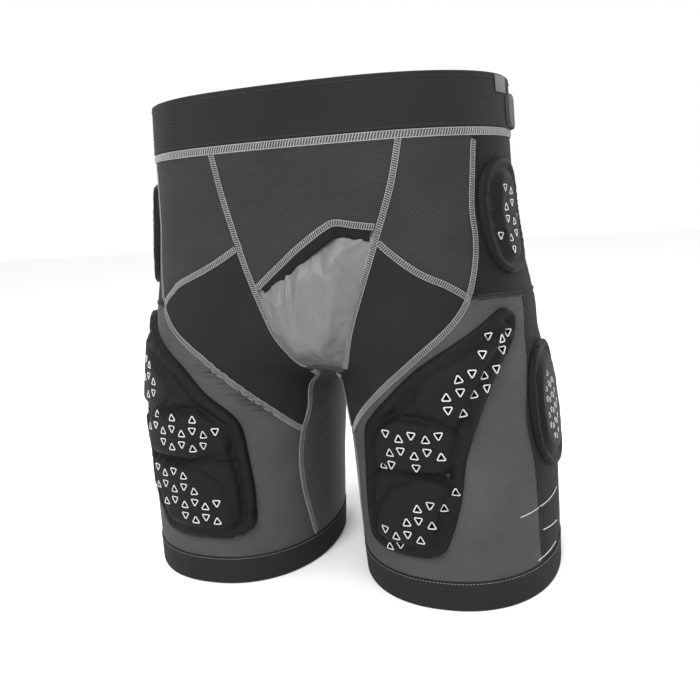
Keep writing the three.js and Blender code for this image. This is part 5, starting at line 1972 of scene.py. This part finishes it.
@dataclass
class LegPads:
    """The big thigh pad and the smaller hip and outer pads of one half."""

    shop: Workshop
    side: Side

    def build(self) -> None:
        """Makes the three covers and opens their vents."""
        self._thigh()
        hip_vents = (
            (0.395, 292), (0.39, 322), (0.405, 346), (0.44, 350), (0.462, 325), (0.455, 295), (0.425, 284),
        )
        outer_vents = (
            (0.43, 130), (0.43, 172), (0.45, 184), (0.485, 178), (0.498, 150), (0.485, 128), (0.45, 124),
        )
        self._oval("hip_pad", 0.425, 317.0, 50.0, 76.0, TORSO_GIRTH, 7.5, 1.0, hip_vents)
        self._oval("outer_thigh_pad", 0.466, 155.0, 66.0, 88.0, LEG_GIRTH, 5.5, 0.78, outer_vents)

    def _thigh(self) -> None:
        """The big pad with its three blocks."""
        side, tag = self.side, self.side.tag
        scale = np.array([LEG_GIRTH, 1.0])
        outline = closed_spline(leg_place(THIGH_OUTLINE, side)) * scale
        blocks = {
            name: closed_spline(leg_place(points, side)) * scale for name, points in THIGH_BLOCKS.items()
        }
        grooves = [spline(leg_place(points, side)) * scale for points in GROOVES]
        pad = PuffedPad(self.shop, side.chart, LEG_GIRTH, outline, blocks, 5.2, 10.0, 6.2, 9.2, grooves)
        cover = pad.build(f"thigh_pad_{tag}", [f"thigh_pad_cover_{tag}"])
        for name, points in VENT_AREAS[tag].items():
            area = np.array(points) * scale
            VentCluster(self.shop, side.chart, LEG_GIRTH, area).open(
                f"thigh_vents_{name}_{tag}", cover, f"thigh_pad_{name}_foam_{tag}")

    def _oval(
        self, name: str, t: float, level: float, width: float, height: float, girth: float, puff: float,
        size: float, area: Sequence[Place],
    ) -> None:
        """One oval pad with a flat sewn edge round it."""
        tag, chart = self.side.tag, self.side.chart
        form = self.shop.tailor.form
        scale = float(form.stretch(chart, np.array([t]), np.array([level]))[0]) / girth
        shape = rounded_oval(72)
        middle = np.array([t * girth, level])
        outline = middle + shape * np.array([(width / 2 + 9) / scale, height / 2 + 9])
        block = middle + shape * np.array([(width / 2 - 3) / scale, height / 2 - 3])
        pad = PuffedPad(self.shop, chart, girth, outline, {"block": block}, 3.6, 9.0, puff * 0.75, puff)
        cover = pad.build(f"{name}_{tag}", [f"{name}_cover_{tag}"])
        apart = math.sqrt(size)
        place = np.array(area) * np.array([girth, 1.0])
        cluster = VentCluster(self.shop, chart, girth, place, 8.9 * apart, 12.6 * apart, 0.92 * size)
        cluster.open(f"{name}_vents_{tag}", cover, f"{name}_foam_{tag}")


@dataclass
class TailPad:
    """The pad over the tailbone."""

    shop: Workshop

    def build(self) -> None:
        """Makes its cover and opens its vents."""
        girth, level = TORSO_GIRTH, 296.0
        form = self.shop.tailor.form
        scale = float(form.stretch(Chart.MIDDLE, np.array([0.97]), np.array([level]))[0]) / girth
        shape = rounded_oval(84)
        middle = np.array([girth, level])
        outline = middle + shape * np.array([55 / scale, 51.0])
        block = middle + shape * np.array([43 / scale, 39.0])
        pad = PuffedPad(self.shop, Chart.MIDDLE, girth, outline, {"block": block}, 3.6, 9.0, 6.0, 8.6)
        cover = pad.build("tail_pad", ["tail_pad_cover"])
        area = middle + shape * np.array([32 / scale, 28.0])
        cluster = VentCluster(self.shop, Chart.MIDDLE, girth, area, 9.3 / scale)
        cluster.open("tail_pad_vents", cover, "tail_pad_foam")


@dataclass
class WaistAdjuster:
    """A tab that closes on the band with hook and loop."""

    shop: Workshop
    side: Side

    def build(self) -> None:
        """Makes the tab, its stitches and both patches."""
        shop, side, tag = self.shop, self.side, self.side.tag
        tailor = shop.tailor
        girth = float(tailor.form.stretch(side.chart, np.array([0.5]), np.array([403.0]))[0])
        root = 0.565
        body = f"adjuster_{tag}"

        def block(start: float, end: float, low: float, high: float, corner: float) -> Array:
            """A box of cloth from its distances ahead of the root and its levels."""
            x0, x1 = root - end / girth, root - start / girth
            r = corner / girth
            corners = [(x1, low), (x1, high)]
            turn = np.linspace(0, math.pi / 2, 6)
            top = [(x0 + r - r * math.sin(a), high - corner + corner * math.cos(a)) for a in turn]
            foot = [(x0 + r - r * math.cos(a), low + corner - corner * math.sin(a)) for a in turn]
            return join_lines(np.array(corners), np.array(top), np.array(foot))

        def cloth(name: str, shape: Array, inner: float, outer: float, drop: float = 0.0) -> Piece:
            """One flat layer of the adjuster between two depths."""
            return tailor.slab(f"{name}_{tag}", side.chart, shape, inner, outer, 2.0, girth, drop, False)

        strap = cloth("adjuster_strap", block(0.7, 62, 390, 416, 7), 5.1, 6.35, 0.45)
        shop.declare(shop.dress(strap, Finishes.STRAP, "band_cloth", [f"adjuster_tab_{tag}"], body))
        heel = cloth("adjuster_root", block(0.5, 9, 390.5, 415.5, 0.6), 2.9, 5.3)
        shop.declare(shop.dress(heel, Finishes.STRAP, "band_cloth", (), body))
        patch = block(10, 61, 391, 415, 6)
        hook = cloth("hook_side", patch, 4.0, 4.8)
        shop.dress(hook, Finishes.HOOK, "hook_cloth", [f"hook_patch_{tag}"], body)
        loop = cloth("loop_side", patch, 2.9, 3.6)
        shop.dress(loop, Finishes.LOOP, "loop_cloth", [f"loop_patch_{tag}"])
        edge = block(3, 59, 392.4, 413.6, 5)
        line = np.vstack([edge, edge[:1]])
        steps = tailor.run(side.chart, line, 1.5, 0.0)
        smooth = tailor.form.place(side.chart, line[:, 0], line[:, 1], 6.3)
        steps["centre"] = resample(smooth, 1.5)
        count = min(len(steps["centre"]), len(steps["out"]))
        steps = {key: value[:count] for key, value in steps.items()}
        seam = tailor.guide(f"adjuster_stitches_{tag}", steps)
        thread = shop.dyer.material(Finishes.THREAD)
        shop.stitches.run_on(seam, Pitch=0.003, Stitch_Length=0.0023, Thread=thread)
        shop.dress(seam, None, "band_cloth", (), body)


def side_label(shop: Workshop) -> None:
    """Makes the small woven label on the band."""
    girth = float(shop.tailor.form.stretch(Chart.LEFT, np.array([0.445]), np.array([422.0]))[0])
    w = 12.0 / girth
    corners = np.array([(0.445 - w, 415.5), (0.445 + w, 415.5), (0.445 + w, 428.5), (0.445 - w, 428.5)])
    label = shop.tailor.slab("waist_label", Chart.LEFT, corners, 2.9, 3.6, 1.2, girth, 0.2, creased=False)
    shop.declare(shop.dress(label, Finishes.LABEL, "label_cloth", ["side_label"]))


# ---- The studio -----------------------------------------------------------------------------------


@dataclass(frozen=True)
class Studio:
    """A pale floor, soft lights and the camera."""

    turn: float = 19.1198
    rise: float = 9.4345
    roll: float = -3.8751
    distance: float = 701.312
    lens: float = 37.8263
    aim: float = 229.254
    shift: tuple[float, float] = (0.012494, -0.049041)

    def build(self) -> None:
        """Sets up the floor, the lights and the camera."""
        mesh = bpy.data.meshes.new("floor")
        mesh.from_pydata([(-4, -4, 0), (4, -4, 0), (4, 4, 0), (-4, 4, 0)], [], [(0, 1, 2, 3)])
        floor = bpy.data.objects.new("floor", mesh)
        bpy.context.scene.collection.objects.link(floor)
        pale = bpy.data.materials.new("pale_floor")
        pale.use_nodes = True
        face = pale.node_tree.nodes["Principled BSDF"]
        face.inputs["Base Color"].default_value = (0.93, 0.93, 0.93, 1.0)
        face.inputs["Roughness"].default_value = 0.9
        mesh.materials.append(pale)
        world = bpy.context.scene.world or bpy.data.worlds.new("studio")
        bpy.context.scene.world = world
        world.use_nodes = True
        sky = world.node_tree.nodes["Background"]
        sky.inputs["Color"].default_value = (1.0, 1.0, 1.0, 1.0)
        sky.inputs["Strength"].default_value = 1.0
        for name, where, size, power in (
            ("key", (-0.2, -1.5, 1.3), 0.8, 30.0), ("fill", (1.3, -1.2, 0.7), 1.0, 6.0),
            ("top", (0.0, -0.1, 1.6), 0.8, 10.0), ("back_left", (-1.2, 0.9, 0.8), 0.8, 8.0),
            ("back_right", (1.2, 0.9, 0.8), 0.8, 8.0),
        ):
            lamp = bpy.data.lights.new(name, "AREA")
            lamp.size, lamp.energy = size, power
            light = bpy.data.objects.new(name, lamp)
            light.location = where
            toward = Vector((0.0, 0.0, 0.22)) - Vector(where)
            light.rotation_euler = toward.to_track_quat("-Z", "Y").to_euler()
            bpy.context.scene.collection.objects.link(light)
        self._camera()
        bpy.context.scene.view_settings.view_transform = "Standard"

    def _camera(self) -> None:
        """Sets the camera where the shorts are seen from a little to their left."""
        a, e, r = (math.radians(v) for v in (self.turn, self.rise, self.roll))
        back = Vector((math.sin(a) * math.cos(e), -math.cos(a) * math.cos(e), math.sin(e)))
        right = Vector((math.cos(a), math.sin(a), 0.0))
        up = back.cross(right)
        across = right * math.cos(r) + up * math.sin(r)
        over = up * math.cos(r) - right * math.sin(r)
        low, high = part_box("waistband")
        centre = Vector((0.0, (low.y + high.y) / 2, self.aim * MM)) + back * (self.distance * MM)
        data = bpy.data.cameras.new("camera")
        data.sensor_width = 36.0
        data.lens = self.lens
        data.shift_x, data.shift_y = self.shift
        data.clip_start, data.clip_end = 0.01, 50.0
        camera = bpy.data.objects.new("camera", data)
        turn = Matrix((across, over, back)).transposed().to_4x4()
        camera.matrix_world = Matrix.Translation(centre) @ turn
        bpy.context.scene.collection.objects.link(camera)
        bpy.context.scene.camera = camera


CREASES = (
    CreaseFan(((-0.275, 206), (-0.235, 209)), ((-0.182, 160), (-0.143, 157)), 10, 2.8, 2.1),
    CreaseFan(((-0.30, 43), (-0.17, 40)), ((-0.29, 31), (-0.19, 31)), 4, 1.1, 2.2),
    CreaseFan(((0.13, 168), (0.155, 168)), ((0.20, 196), (0.225, 200)), 6, 2.2, 2.1),
    CreaseFan(((0.40, 246), (0.44, 240)), ((0.37, 200), (0.41, 190)), 7, 0.7, 3.0),
    CreaseFan(((0.35, 116), (0.40, 122)), ((0.35, 54), (0.40, 50)), 8, 0.8, 3.0),
    CreaseFan(((0.41, 108), (0.50, 108)), ((0.41, 60), (0.50, 60)), 7, 0.7, 2.8),
    CreaseFan(((0.41, 230), (0.52, 226)), ((0.41, 205), (0.52, 203)), 5, 0.7, 2.6),
    CreaseFan(((0.10, 232), (0.17, 262)), ((0.10, 214), (0.20, 232)), 4, 0.45, 4.5),
    CreaseFan(((-0.10, 232), (-0.17, 262)), ((-0.10, 214), (-0.20, 232)), 4, 0.45, 4.5),
    CreaseFan(((0.60, 215), (0.74, 195)), ((0.60, 180), (0.72, 165)), 5, 0.7, 4.0),
    CreaseFan(((-0.60, 215), (-0.74, 195)), ((-0.60, 180), (-0.72, 165)), 5, 0.7, 4.0),
    CreaseFan(((0.04, 150), (0.09, 146)), ((0.03, 60), (0.08, 56)), 7, 0.4, 4.0),
    CreaseFan(((-0.04, 150), (-0.09, 146)), ((-0.03, 60), (-0.08, 56)), 7, 0.4, 4.0),
)


def main() -> None:
    """Builds the whole scene."""
    logging.basicConfig(level=logging.INFO, format="%(message)s")
    pattern = Pattern()
    form = BodyForm()
    lines = [
        (side.chart, line)
        for side in SIDES
        for line in (
            pattern.front_seam(side), pattern.thigh_seam(side), pattern.side_seam, pattern.leg_seam,
            pattern.lower_inner, pattern.outer_seam, pattern.rear_seam, pattern.seat_seam, pattern.back_inner,
        )
    ]
    relief = ClothRelief(form, CREASES, lines)
    shop = Workshop(
        Tailor(form, relief, pattern.arch), Dyer(), pattern, flatlock_recipe(), running_stitch_recipe(),
        vent_opening_recipe(), vent_rim_recipe(),
    )
    WaistBand(shop).build()
    FlyFront(shop).build()
    for side in SIDES:
        PanelSet(shop, side).build()
        LegPads(shop, side).build()
        WaistAdjuster(shop, side).build()
    TailPad(shop).build()
    side_label(shop)
    Studio().build()


if __name__ == "__main__":
    main()
